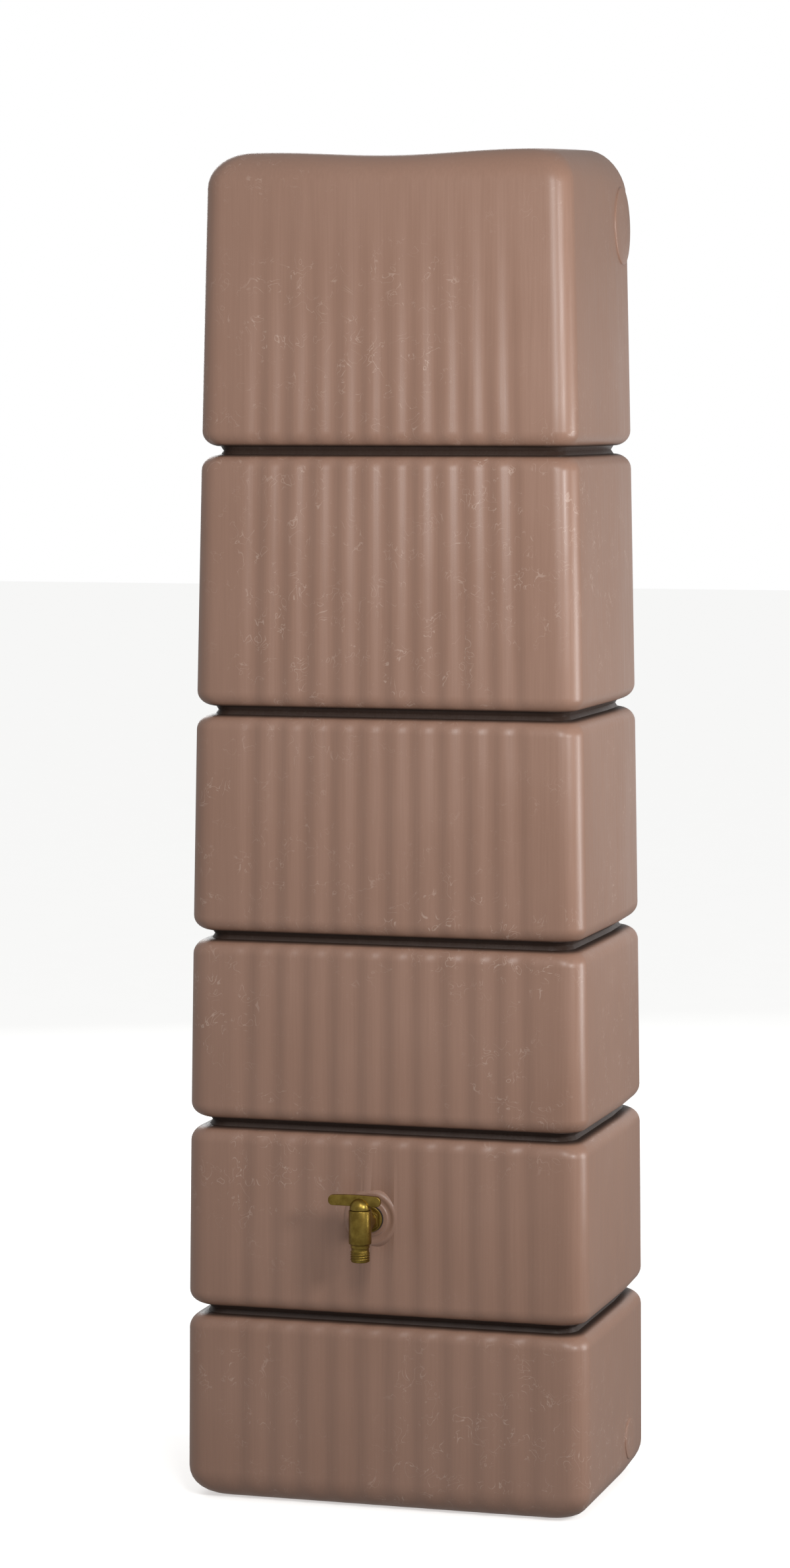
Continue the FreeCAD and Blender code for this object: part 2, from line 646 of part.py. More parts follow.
def make_inlet_seal():
    """Flat rubber ring between the tap's flange and the tank's seat."""
    ring = cylinder("seal_disc", "Sizes.seal_radius", "Sizes.seal_thick",
                    "Sizes.tap_x", SEAT_Y, "Sizes.tap_height", TO_FRONT)
    hole = cylinder("seal_hole", "Sizes.shank_radius + Sizes.fit_gap", "3 * Sizes.seal_thick",
                    "Sizes.tap_x", f"{SEAT_Y} + Sizes.seal_thick", "Sizes.tap_height", TO_FRONT)
    return named(cut("seal_ring", ring, hole), "inlet_seal")


def make_tap_body():
    """Barrel with its spout, and the inlet with collar, hexagon, flange and thread."""
    body = new_body("tap_body")
    barrel = sketch_on(body, "barrel_profile", "XZ_Plane")
    neck = "Sizes.spout_length"
    band_z = f"({neck} + Sizes.spout_neck_length)"
    corners = [
        ("0", "0"),
        ("Sizes.spout_radius", "0"),
        ("Sizes.spout_radius", neck),
        ("Sizes.spout_neck_radius", neck),
        ("Sizes.spout_neck_radius", band_z),
        ("Sizes.neck_band_radius", band_z),
        ("Sizes.neck_band_radius", SPOUT_TOTAL),
        ("Sizes.barrel_radius - Sizes.barrel_edge", SPOUT_TOTAL),
        ("Sizes.barrel_radius", f"{SPOUT_TOTAL} + Sizes.barrel_edge"),
        ("Sizes.barrel_radius", f"{BARREL_TOP} - Sizes.barrel_edge"),
        ("Sizes.barrel_radius - Sizes.barrel_edge", BARREL_TOP),
        ("0", BARREL_TOP),
    ]
    outline(barrel, corners)
    turn_profile(body, "Revolution", barrel)

    inlet = sketch_on(body, "inlet_profile", "YZ_Plane", rise=INLET_Z)
    flange_back = "(Sizes.tap_reach - Sizes.seal_thick)"
    flange_front = f"({flange_back} - Sizes.flange_thick)"
    shank_end = "(Sizes.tap_reach + Sizes.shank_length)"
    corners = [
        ("0", "0"),
        (shank_end, "0"),
        (shank_end, "Sizes.shank_radius"),
        (flange_back, "Sizes.shank_radius"),
        (flange_back, "Sizes.flange_radius"),
        (flange_front, "Sizes.flange_radius"),
        (flange_front, "Sizes.collar_radius"),
        ("0", "Sizes.collar_radius"),
    ]
    outline(inlet, corners)
    turn_profile(body, "Revolution", inlet, "H_Axis")

    hexagon = sketch_on(body, "hexagon", "XZ_Plane", lift=f"-{flange_front}", rise=INLET_Z)
    corners = [(f"Sizes.hex_flats / sqrt(3) * {math.cos(math.radians(60 * k)):.9f}",
                f"Sizes.hex_flats / sqrt(3) * {math.sin(math.radians(60 * k)):.9f}") for k in range(6)]
    outline(hexagon, corners)
    extrude(body, "Pad", hexagon, "Sizes.hex_length")

    bore = sketch_on(body, "bore_profile", "XZ_Plane")
    seat = f"({SPOUT_TOTAL} + Sizes.plug_seat)"
    clip_low = f"({PLUG_Z} + Sizes.plug_length + Sizes.end_play)"
    clip_high = f"({clip_low} + Sizes.clip_thick)"
    outline(bore, [
        ("0", "-Sizes.barrel_edge"),
        ("Sizes.spout_bore", "-Sizes.barrel_edge"),
        ("Sizes.spout_bore", seat),
        ("Sizes.plug_bore", seat),
        ("Sizes.plug_bore", clip_low),
        ("Sizes.plug_bore + Sizes.clip_bite", clip_low),
        ("Sizes.plug_bore + Sizes.clip_bite", clip_high),
        ("Sizes.plug_bore", clip_high),
        ("Sizes.plug_bore", f"{BARREL_TOP} + Sizes.barrel_edge"),
        ("0", f"{BARREL_TOP} + Sizes.barrel_edge"),
    ])
    turn_profile(body, "Groove", bore)

    water_way = sketch_on(body, "water_way", "XZ_Plane", rise=INLET_Z)
    circle(water_way, "Sizes.inlet_bore")
    extrude(body, "Pocket", water_way, f"{shank_end} + Sizes.barrel_edge", reverse=False)
    return place(body, "Sizes.tap_x", BARREL_Y, SPOUT_Z)


def make_valve_plug():
    """Hollow plug with a side port, two ring grooves and a square stem."""
    body = new_body("valve_plug")
    outer = "(Sizes.plug_bore - Sizes.plug_play)"
    ring_floor = "(Sizes.plug_bore - Sizes.ring_play - 2 * Sizes.ring_half)"
    profile = sketch_on(body, "plug_profile", "XZ_Plane")
    corners = [("Sizes.plug_hollow", "0"), (outer, "0")]
    for height in ("Sizes.lower_ring_height", "Sizes.upper_ring_height"):
        low = f"({height} - Sizes.ring_half)"
        high = f"({height} + Sizes.ring_half)"
        corners += [(outer, low), (ring_floor, low), (ring_floor, high), (outer, high)]
    corners += [
        (outer, "Sizes.plug_length"),
        ("0", "Sizes.plug_length"),
        ("0", "Sizes.plug_length - Sizes.plug_crown"),
        ("Sizes.plug_hollow", "Sizes.plug_length - Sizes.plug_crown"),
    ]
    outline(profile, corners)
    turn_profile(body, "Revolution", profile)
    port = sketch_on(body, "port", "YZ_Plane", rise="Sizes.inlet_rise - Sizes.plug_seat - Sizes.end_play")
    circle(port, "Sizes.port_radius")
    extrude(body, "Pocket", port, "2 * Sizes.plug_bore", reverse=True)
    stem = sketch_on(body, "stem", "XY_Plane", lift="Sizes.plug_length")
    outline(stem, square("Sizes.stem_side / 2"))
    extrude(body, "Pad", stem, "Sizes.stem_length")
    return place(body, "Sizes.tap_x", BARREL_Y, f"{SPOUT_Z} + {PLUG_Z}")


def make_plug_ring(label, height):
    """One rubber ring of square section in the plug's groove."""
    low = f"({SPOUT_Z} + {PLUG_Z} + {height} - Sizes.ring_half)"
    outer = "(Sizes.plug_bore - Sizes.ring_play)"
    disc = cylinder(f"{label}_disc", outer, "2 * Sizes.ring_half", "Sizes.tap_x", BARREL_Y, low)
    hole = cylinder(f"{label}_hole", f"{outer} - 2 * Sizes.ring_half", "6 * Sizes.ring_half",
                    "Sizes.tap_x", BARREL_Y, f"{low} - 2 * Sizes.ring_half")
    return named(cut(f"{label}_form", disc, hole), label)


def make_plug_clip():
    """Open spring clip in the barrel's groove, over the plug's shoulder."""
    low = f"{SPOUT_Z} + {PLUG_Z} + Sizes.plug_length + Sizes.end_play"
    disc = cylinder("clip_disc", "Sizes.plug_bore + Sizes.clip_bite - Sizes.fit_gap", "Sizes.clip_thick",
                    "Sizes.tap_x", BARREL_Y, low)
    hole = cylinder("clip_hole", "Sizes.clip_inner", "3 * Sizes.clip_thick",
                    "Sizes.tap_x", BARREL_Y, f"{low} - Sizes.clip_thick")
    opening = DOC.addObject("Part::Box", "clip_gap")
    bind(opening, Length="Sizes.clip_opening", Width="2 * Sizes.plug_bore", Height="3 * Sizes.clip_thick")
    place(opening, "Sizes.tap_x - Sizes.clip_opening / 2", f"{BARREL_Y} - 2 * Sizes.plug_bore",
          f"{low} - Sizes.clip_thick")
    return named(cut("clip_ring", disc, fuse("clip_cuts", [hole, opening])), "plug_clip")


def arc_outline(sketch, corners):
    """A closed outline whose stretches are lines, or arcs where a corner names a radius and a midpoint."""
    spots = [Vector(number(spot[0]), number(spot[1]), 0) for spot in corners]
    count = len(corners)
    for k, spot in enumerate(corners):
        start, end = spots[k], spots[(k + 1) % count]
        if len(spot) == 2:
            sketch.addGeometry(Part.LineSegment(start, end))
            continue
        radius = number(spot[2])
        along = end - start
        middle = (start + end) / 2
        offset = math.sqrt(max(radius ** 2 - (along.Length / 2) ** 2, 0.0))
        inward = Vector(-along.y, along.x, 0).normalize()
        centre = middle + inward * offset
        crest = centre - inward * radius
        sketch.addGeometry(Part.Arc(start, crest, end))
    for k, spot in enumerate(corners):
        sketch.addConstraint(Sketcher.Constraint("Coincident", k, 2, (k + 1) % count, 1))
        if len(spot) == 3:
            index = sketch.addConstraint(Sketcher.Constraint("Radius", k, number(spot[2])))
            sketch.setExpression(f"Constraints[{index}]", spot[2])
    for k, spot in enumerate(corners):
        pin_corner(sketch, k, spot[:2])


def make_tap_lever():
    """Domed hub with the crosswise blade, pushed on the plug's stem."""
    body = new_body("tap_lever")
    hub = sketch_on(body, "hub_profile", "XZ_Plane")
    arc_outline(hub, [
        ("0", "0"),
        ("Sizes.dome_radius", "0"),
        ("Sizes.dome_radius", "Sizes.dome_band", "Sizes.dome_radius"),
        ("0", "Sizes.dome_band + Sizes.dome_radius"),
    ])
    turn_profile(body, "Revolution", hub)
    blade = sketch_on(body, "blade_outline", "XZ_Plane")
    low = "Sizes.blade_lift"
    high = "(Sizes.blade_lift + Sizes.blade_height - Sizes.blade_crown)"
    end = "Sizes.blade_end"
    span = "(Sizes.blade_long + Sizes.blade_short - 2 * Sizes.blade_end)"
    crown = f"(({span} / 2) ^ 2 / (2 * Sizes.blade_crown) + Sizes.blade_crown / 2)"
    arc_outline(blade, [
        (f"-Sizes.blade_long + {end}", low),
        (f"Sizes.blade_short - {end}", low, end),
        ("Sizes.blade_short", f"{low} + {end}"),
        ("Sizes.blade_short", f"{high} - {end}", end),
        (f"Sizes.blade_short - {end}", high, crown),
        (f"-Sizes.blade_long + {end}", high, end),
        ("-Sizes.blade_long", f"{high} - {end}"),
        ("-Sizes.blade_long", f"{low} + {end}", end),
    ])
    extrude(body, "Pad", blade, "Sizes.blade_thick", midplane=True)
    socket = sketch_on(body, "socket", "XY_Plane")
    outline(socket, square("(Sizes.stem_side / 2 + Sizes.stem_fit)"))
    depth = "(Sizes.plug_length + Sizes.stem_length + Sizes.stem_fit - Sizes.barrel_length" \
            " + Sizes.plug_seat + Sizes.end_play - Sizes.dome_lift)"
    extrude(body, "Pocket", socket, depth, reverse=True)
    return place(body, "Sizes.tap_x", BARREL_Y, f"{SPOUT_Z} + {BARREL_TOP} + Sizes.dome_lift")


def make_tank_lid():
    """Lift-off lid: rim in the recess, skirt in the opening, crown with a hand dish and a grip bar."""
    body = new_body("tank_lid")
    profile = sketch_on(body, "lid_profile", "XZ_Plane")
    skirt = "(Sizes.neck_radius - Sizes.lid_gap)"
    top = "(Sizes.lid_skirt + Sizes.lid_wall)"
    crown = f"({top} + Sizes.lid_rise)"
    dish = f"({crown} - Sizes.lid_dish_drop)"
    outline(profile, [
        (f"{skirt} - Sizes.lid_wall", "0"),
        (skirt, "0"),
        (skirt, "Sizes.lid_skirt"),
        ("Sizes.recess_radius - Sizes.lid_margin", "Sizes.lid_skirt"),
        ("Sizes.recess_radius - Sizes.lid_margin", top),
        ("Sizes.lid_crown_radius + Sizes.lid_wall", top),
        ("Sizes.lid_crown_radius", crown),
        ("Sizes.lid_dish_radius", crown),
        ("Sizes.lid_dish_radius - Sizes.lid_wall", dish),
        ("0", dish),
        ("0", f"{dish} - Sizes.lid_wall"),
        ("Sizes.lid_dish_radius", f"{dish} - Sizes.lid_wall"),
        ("Sizes.lid_dish_radius + Sizes.lid_wall", f"{crown} - Sizes.lid_wall"),
        ("Sizes.lid_crown_radius - Sizes.lid_wall", f"{crown} - Sizes.lid_wall"),
        (f"{skirt} - Sizes.lid_wall", "Sizes.lid_skirt"),
    ])
    turn_profile(body, "Revolution", profile)
    grip = sketch_on(body, "grip", "XY_Plane", lift=f"{dish} - Sizes.lid_wall / 2")
    half = "(Sizes.lid_grip_length / 2)"
    wide = "(Sizes.lid_grip_width / 2)"
    outline(grip, [(f"-{half}", f"-{wide}"), (half, f"-{wide}"), (half, wide), (f"-{half}", wide)])
    extrude(body, "Pad", grip, "Sizes.lid_dish_drop + Sizes.lid_wall / 2")
    return place(body, "0", "0", f"{RECESS_Z} - Sizes.lid_skirt")


def check_pads(shell):
    """Stop if a pad isn't part of the shell."""
    for thing in DOC.Objects:
        if "_pad_" in thing.Name:
            face = thing.Placement.multVec(Vector(0, 0, thing.Height.Value - PAD_PROBE))
            if not shell.Shape.isInside(face, SEW_GAP, True):
                raise RuntimeError(f"{thing.Name} is missing from the shell")


def check(parts):
    """Stop on a failed object, a missing shape or one that isn't valid."""
    for thing in DOC.Objects:
        if {"Invalid", "Error"} & set(thing.State):
            raise RuntimeError(f"{thing.Name} failed: {thing.State}")
    for part in parts:
        shape = part.Shape
        if shape.isNull() or not shape.isValid() or not shape.Solids:
            raise RuntimeError(f"{part.Label} has no valid solid")


def main():
    parts = [
        make_tank_shell(),
        make_tank_lid(),
        make_threaded_insert(),
        make_inlet_seal(),
        make_tap_body(),
        make_valve_plug(),
        make_plug_ring("plug_ring_lower", "Sizes.lower_ring_height"),
        make_plug_ring("plug_ring_upper", "Sizes.upper_ring_height"),
        make_plug_clip(),
        make_tap_lever(),
    ]
    DOC.recompute()
    check(parts)
    check_pads(parts[0])
    os.makedirs("parts", exist_ok=True)
    for part in parts:
        part.Shape.exportStep(f"parts/{part.Label}.step")
        box = part.Shape.BoundBox
        print(f"{part.Label}: {len(part.Shape.Solids)} solid, {part.Shape.Volume / 1000:.2f} cm3,"
              f" x {box.XMin:.1f}..{box.XMax:.1f}, y {box.YMin:.1f}..{box.YMax:.1f},"
              f" z {box.ZMin:.1f}..{box.ZMax:.1f}")


main()
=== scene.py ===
import math

import bmesh
import bpy
from mathutils import Euler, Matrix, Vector


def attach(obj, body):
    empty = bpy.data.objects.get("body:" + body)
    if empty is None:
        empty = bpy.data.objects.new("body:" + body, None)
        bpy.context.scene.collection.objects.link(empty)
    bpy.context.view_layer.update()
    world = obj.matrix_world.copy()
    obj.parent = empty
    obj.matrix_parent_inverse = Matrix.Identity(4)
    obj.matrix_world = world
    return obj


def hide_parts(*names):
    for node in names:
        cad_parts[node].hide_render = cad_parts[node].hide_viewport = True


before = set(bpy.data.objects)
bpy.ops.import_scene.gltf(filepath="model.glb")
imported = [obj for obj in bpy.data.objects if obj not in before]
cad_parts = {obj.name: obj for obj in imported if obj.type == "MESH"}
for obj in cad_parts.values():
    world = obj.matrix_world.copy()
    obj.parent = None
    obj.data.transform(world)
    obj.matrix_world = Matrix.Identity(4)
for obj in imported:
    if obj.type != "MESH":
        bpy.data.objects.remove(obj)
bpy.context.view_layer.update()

bl_info = {
    "name": "Slimline water tank",
    "version": (1, 0, 0),
    "blender": (4, 5, 0),
    "location": "View3D > Sidebar > Tank",
    "description": "Dresses the slim rainwater tank and its tap in a small daylight studio",
    "category": "Add Mesh",
}

MM = 0.001

# Places and sizes that the pieces share, in metres, as the CAD model has them
HEIGHT = 1.85  # over the front of the top
TOP_SLOPE = 0.013  # how much higher the top is at the rear
BASE_HALF = 0.288  # half the width at the base, over the creases
TAPER = 0.033  # what that half loses up to the top
TAPER_POWER = 1.5  # the power of the height that the loss grows with
LEAN = 0.008  # how far the front leans back up to the top
HALF_DEPTH = 0.192
CREASE_Y = 0.066  # the mould's parting line on the sides
FRONT_CORNER_X = 0.2865
REAR_CORNER_X = 0.28228
GROOVES = (0.264, 0.526, 0.785, 1.094, 1.448)  # the middle of each
FLUTES = 11
PITCH_BASE = 0.0418  # from flute to flute at the base
PITCH_DROP = 0.0081  # what that loses up to the top
TAP_X = -0.016
TAP_Z = 0.4065  # the inlet's axis
SEAT_Y = -0.1928137  # the face that the tap's flange bears on
BARREL_Y = -0.2408137  # the barrel's axis
SPOUT_Z = 0.3559  # the spout's lower end
RECESS_Z = 1.828  # the floor of the lid's recess
RECESS_R = 0.09  # its wall
LIP_R = 0.0925  # where the top ends and the recess's lip begins
NECK_Z = RECESS_Z - 0.015  # the neck's lower end
NECK_R = 0.075
# Round pads on each side: radius and rise in millimetres, then y and z in metres
PADS = ((54, 2.2, 0.1222, 1.757), (29, 1.4, CREASE_Y, 0.063))

# How finely the shell is cut: columns of the front, back and sides, and rings of the top, then steps of
# the upright corners, of the base's and the grooves' roundings, and of the top's rounding
FRONT_CUTS, REAR_CUTS, SIDE_CUTS, TOP_CUTS = 151, 23, 4, 9
CORNER_STEPS, GROOVE_STEPS, TOP_STEPS = 10, 8, 10
# Tolerances for picking vertices, edges and faces by their place, in metres
NEAR, CLOSE = 0.0005, 0.0001


def linear(code):
    """A colour written as sRGB hex, as the linear red, green, blue and alpha that the shader takes."""
    parts = [int(code[i:i + 2], 16) / 255 for i in (1, 3, 5)]
    return tuple(c / 12.92 if c <= 0.04045 else ((c + 0.055) / 1.055) ** 2.4 for c in parts) + (1.0,)


def size_prop(name, description, default):
    """A length that the user can change."""
    return bpy.props.FloatProperty(
        name=name, description=description, default=default, unit="LENGTH", precision=4)


def power_prop(name, description, default):
    """A lamp's power that the user can change."""
    return bpy.props.FloatProperty(
        name=name, description=description, default=default, min=0.0, unit="POWER")


def level_prop(name, description, default):
    """A brightness that the user can change."""
    return bpy.props.FloatProperty(name=name, description=description, default=default, min=0.0)


def colour_prop(name, description, code):
    """A colour that the user can change."""
    return bpy.props.FloatVectorProperty(
        name=name, description=description, subtype="COLOR", size=4, min=0.0, max=1.0, default=linear(code))


class TankSettings(bpy.types.PropertyGroup):
    """Sizes and colours of the moulded tank and its lid"""

    groove_gap: size_prop("Groove gap", "Opening of a groove between two blocks", 0.011)
    block_round: size_prop("Block rounding", "Rounding of a block's edge into its groove", 0.021)
    groove_tail: size_prop("Groove tail", "Depth of a groove's floor past the rounding", 0.003)
    base_round: size_prop("Base rounding", "Rounding round the base", 0.042)
    top_round: size_prop("Top rounding", "Rounding round the top", 0.048)
    front_corner: size_prop("Front corners", "Radius of the upright front corners", 0.032)
    rear_corner: size_prop("Rear corners", "Radius of the upright rear corners", 0.042)
    flute_depth: size_prop("Flute depth", "Depth of a flute in the front", 0.0036)
    saddle: size_prop("Saddle", "Dip along the middle of the top", 0.006)
    saddle_half: size_prop("Saddle half width", "Half the width of that dip", 0.18)
    wall: size_prop("Wall", "Moulded wall", 0.0035)
    plastic: colour_prop("Plastic", "Moulded polyethylene", "#8D6C5B")
    plastic_pale: colour_prop("Rubbed plastic", "The same where it is rubbed or dusty", "#987868")


class TapSettings(bpy.types.PropertyGroup):
    """Sizes and colours of the tap"""

    ridge_pitch: size_prop("Thread pitch", "Height of one turn of the hose thread", 0.0033)
    ridge_rise: size_prop("Thread rise", "How far the thread's ridge stands out", 0.0012)
    brass: colour_prop("Brass", "Cast and tumbled brass", "#9C8440")
    brass_dark: colour_prop("Dull brass", "The same where it has dulled", "#6E5826")


class StudioSettings(bpy.types.PropertyGroup):
    """Light and ground"""

    key_power: power_prop("Key light", "Power of the lamp on the right in front", 36.0)
    side_power: power_prop("Side light", "Power of the lamp on the right", 26.0)
    front_power: power_prop("Front light", "Power of the tall lamp close in front", 15.0)
    rear_power: power_prop("Rear light", "Power of the lamp behind", 1.6)
    back_power: power_prop("Back light", "Power of the large lamp that lights the back", 45.0)
    sky: level_prop("Surroundings", "Brightness of the soft surroundings where they are brightest", 0.54)
    glow: level_prop("Floor glow", "Light that the floor gives off, as a lit sheet does", 0.5)
    ground: colour_prop("Ground", "Pale floor", "#F4F4F2")


def tank_settings():
    return bpy.context.scene.tank_settings


def tap_settings():
    return bpy.context.scene.tap_settings


# Modelling by hand


def start(name):
    """Name the primitive that was just added, and settle its size and place in its mesh."""
    thing = bpy.context.object
    thing.name = name
    thing.data.name = name
    bpy.ops.object.transform_apply(location=True, rotation=True, scale=True)
    return thing


def only(thing):
    """Make this the one selected and active object."""
    bpy.ops.object.select_all(action="DESELECT")
    thing.select_set(True)
    bpy.context.view_layer.objects.active = thing


def pick(kind, test):
    """In edit mode, select the vertices, edges or faces that pass the test, and nothing else."""
    bpy.ops.mesh.select_mode(type=kind)
    bpy.ops.mesh.select_all(action="DESELECT")
    mesh = bmesh.from_edit_mesh(bpy.context.object.data)
    items = {"VERT": mesh.verts, "EDGE": mesh.edges, "FACE": mesh.faces}[kind]
    found = [item for item in items if test(item)]
    for item in found:
        item.select = True
    mesh.select_flush_mode()
    bmesh.update_edit_mesh(bpy.context.object.data)
    return len(found)


def middle(edge):
    """The middle of an edge."""
    return (edge.verts[0].co + edge.verts[1].co) / 2


def turned(name, rings, segments=64, core=False):
    """A piece turned on an upright axis through the origin, ring by ring of (radius, height) in millimetres.

    Both ends are closed flat. With core the last ring is joined to the first instead, as for a sleeve.
    """
    bpy.ops.object.select_all(action="DESELECT")
    first_r, first_z = rings[0]
    bpy.ops.mesh.primitive_circle_add(vertices=segments, radius=first_r * MM, location=(0, 0, first_z * MM))
    thing = start(name)
    bpy.ops.object.mode_set(mode="EDIT")
    bpy.ops.mesh.select_mode(type="EDGE")
    bpy.ops.mesh.select_all(action="SELECT")
    if not core:
        bpy.ops.mesh.edge_face_add()
    r, z = first_r, first_z
    loop = rings[1:] + ([rings[0]] if core else [])
    for next_r, next_z in loop:
        if core:
            bpy.ops.mesh.extrude_edges_move()
        else:
            bpy.ops.mesh.extrude_region_move()
        share = next_r / r
        bpy.ops.transform.resize(value=(share, share, 1), center_override=(0, 0, z * MM))
        bpy.ops.transform.translate(value=(0, 0, (next_z - z) * MM))
        r, z = next_r, next_z
    bpy.ops.mesh.select_all(action="SELECT")
    bpy.ops.mesh.remove_doubles(threshold=0.000002)
    bpy.ops.mesh.normals_make_consistent(inside=False)
    bpy.ops.object.mode_set(mode="OBJECT")
    return thing


def put(thing, place, turn=(0, 0, 0)):
    """Turn a piece about the origin, then move it, and settle both in its mesh."""
    only(thing)
    thing.rotation_euler = turn
    bpy.ops.object.transform_apply(location=False, rotation=True, scale=False)
    thing.location = place
    bpy.ops.object.transform_apply(location=True, rotation=False, scale=False)
    return thing


def shape_with(thing, tool, operation):
    """Boolean with another object, which is used up."""
    only(thing)
    cutter = thing.modifiers.new("shape", "BOOLEAN")
    cutter.operation = operation
    cutter.solver = "EXACT"
    cutter.object = tool
    bpy.ops.object.modifier_apply(modifier=cutter.name)
    bpy.data.objects.remove(tool, do_unlink=True)


def join(thing, others):
    """Several objects as one."""
    only(thing)
    for other in others:
        other.select_set(True)
    bpy.ops.object.join()
    return thing


def soften(thing, width, angle=35):
    """A small bevel, in millimetres, on the sharp edges, as casting and tumbling leave."""
    only(thing)
    bevel = thing.modifiers.new("soft edges", "BEVEL")
    bevel.width = width * MM
    bevel.segments = 3
    bevel.limit_method = "ANGLE"
    bevel.angle_limit = math.radians(angle)
    bpy.ops.object.modifier_apply(modifier=bevel.name)


def smooth(thing, angle=32):
    """Smooth shading, but for edges sharper than the angle."""
    only(thing)
    bpy.ops.object.shade_smooth_by_angle(angle=math.radians(angle))


def dress(thing, body, slot, finish, *nodes):
    """Material, body and the CAD nodes that the piece stands for. The slot is not used."""
    thing.data.materials.clear()
    thing.data.materials.append(finish)
    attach(thing, body)
    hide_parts(*nodes)


# Materials


def feed(tree, node, inputs):
    """Give a node its inputs, each a value or another node's output."""
    for key, value in inputs.items():
        if isinstance(value, bpy.types.NodeSocket):
            tree.links.new(value, node.inputs[key])
        else:
            node.inputs[key].default_value = value


def add(tree, kind, inputs=None, **settings):
    """Add a node with its settings and inputs."""
    node = tree.nodes.new(kind)
    for key, value in settings.items():
        setattr(node, key, value)
    feed(tree, node, inputs or {})
    return node


def noise(tree, place, scale, detail, roughness=0.5, distortion=0.0):
    """Noise in blots about 1 / scale metres across."""
    return add(tree, "ShaderNodeTexNoise", {
        "Vector": place, "Scale": scale, "Detail": detail, "Roughness": roughness,
        "Distortion": distortion}).outputs["Fac"]


def stretched(tree, place, scales):
    """Coordinates with a scale of their own along each axis."""
    return add(tree, "ShaderNodeMapping", {"Vector": place, "Scale": scales}).outputs["Vector"]


def spread(tree, value, low, high, least, most, **settings):
    """What lies from low to high, spread from least to most."""
    return add(tree, "ShaderNodeMapRange", {
        "Value": value, "From Min": low, "From Max": high, "To Min": least, "To Max": most},
        **settings).outputs["Result"]


def blend(tree, share, first, second):
    """The first colour, with a share of the second."""
    mix = add(tree, "ShaderNodeMix", {"Factor": share, "A": first, "B": second}, data_type="RGBA")
    return mix.outputs["Result"]


def sums(tree, operation, *values):
    """One step of arithmetic."""
    return add(tree, "ShaderNodeMath", dict(enumerate(values)), operation=operation).outputs["Value"]


def relief(tree, height, strength, distance, under=None):
    """Fine unevenness, on top of a coarser one where there is one."""
    inputs = {"Strength": strength, "Distance": distance, "Height": height}
    if under is not None:
        inputs["Normal"] = under
    return add(tree, "ShaderNodeBump", inputs).outputs["Normal"]


def new_finish(name):
    """An empty material: its tree, Object coordinates and the shader. No tree if it's there already."""
    finish = bpy.data.materials.get(name)
    if finish:
        return finish, None, None, None
    finish = bpy.data.materials.new(name)
    finish.use_nodes = True
    tree = finish.node_tree
    tree.nodes.clear()
    shader = add(tree, "ShaderNodeBsdfPrincipled")
    add(tree, "ShaderNodeOutputMaterial", {"Surface": shader.outputs["BSDF"]})
    place = add(tree, "ShaderNodeTexCoord").outputs["Object"]
    return finish, tree, place, shader


def moulded_polyethylene():
    """Blow-moulded polyethylene, pigmented right through: satin, grained by the mould, rubbed in use, with
    shade painted into the grooves.
    """
    finish, tree, place, shader = new_finish("blow-moulded polyethylene")
    if tree is None:
        return finish
    look = tank_settings()
    # pigment clouds about 0.2 m across, as the parison stretches unevenly
    clouds = spread(tree, noise(tree, place, 5.0, 3.0), 0.35, 0.65, 0.0, 0.35)
    tone = blend(tree, clouds, look.plastic[:], look.plastic_pale[:])
    # hair-fine handling scratches, curled and some 20 mm long, drawn 1 mm wide so that they show
    curls = noise(tree, place, 46.0, 1.5, distortion=1.6)
    hairs = spread(tree, sums(tree, "ABSOLUTE", sums(tree, "SUBTRACT", curls, 0.5)), 0.004, 0.016, 1.0, 0.0)
    # they break off every 26 mm or so, and are strongest in patches about 0.24 m across
    whole = spread(tree, noise(tree, place, 38.0, 1.0), 0.5, 0.58, 0.0, 1.0)
    patches = spread(tree, noise(tree, place, 4.2, 2.0), 0.45, 0.6, 0.05, 0.7)
    worn = sums(tree, "MULTIPLY", sums(tree, "MULTIPLY", hairs, whole), patches)
    tone = blend(tree, worn, tone, linear("#AE9486"))
    # drag marks left as the mould opens: 3 mm wide and some 150 mm long
    drag = noise(tree, stretched(tree, place, (330.0, 330.0, 7.0)), 1.0, 3.0, roughness=0.6)
    shade = spread(tree, drag, 0.3, 0.7, 0.965, 1.03)
    tone = add(tree, "ShaderNodeVectorMath", {0: tone, "Scale": shade}, operation="SCALE").outputs["Vector"]
    # painted shade in the grooves: a near-black colour where the blocks shade each other, full for 5.5 mm
    # above and below the middle of each, gone at 10 mm
    height = add(tree, "ShaderNodeSeparateXYZ", {0: place}).outputs["Z"]
    away = [sums(tree, "ABSOLUTE", sums(tree, "SUBTRACT", height, groove)) for groove in GROOVES]
    nearest = away[0]
    for other in away[1:]:
        nearest = sums(tree, "MINIMUM", nearest, other)
    painted_groove_shade = spread(tree, nearest, 0.0055, 0.0100, 0.9, 0.0, interpolation_type="SMOOTHSTEP")
    tone = blend(tree, painted_groove_shade, tone, linear("#1B1310"))
    # mould grain about 1.4 mm across, over a slow unevenness of the wall about 70 mm across
    slow = relief(tree, noise(tree, place, 14.0, 1.0), 0.35, 0.0022)
    grain = relief(tree, noise(tree, place, 700.0, 2.0), 0.28, 0.0002, slow)
    feed(tree, shader, {
        "Base Color": tone, "Roughness": spread(tree, drag, 0.3, 0.7, 0.33, 0.43),
        "Normal": relief(tree, drag, 0.12, 0.0004, grain), "IOR": 1.51})
    return finish


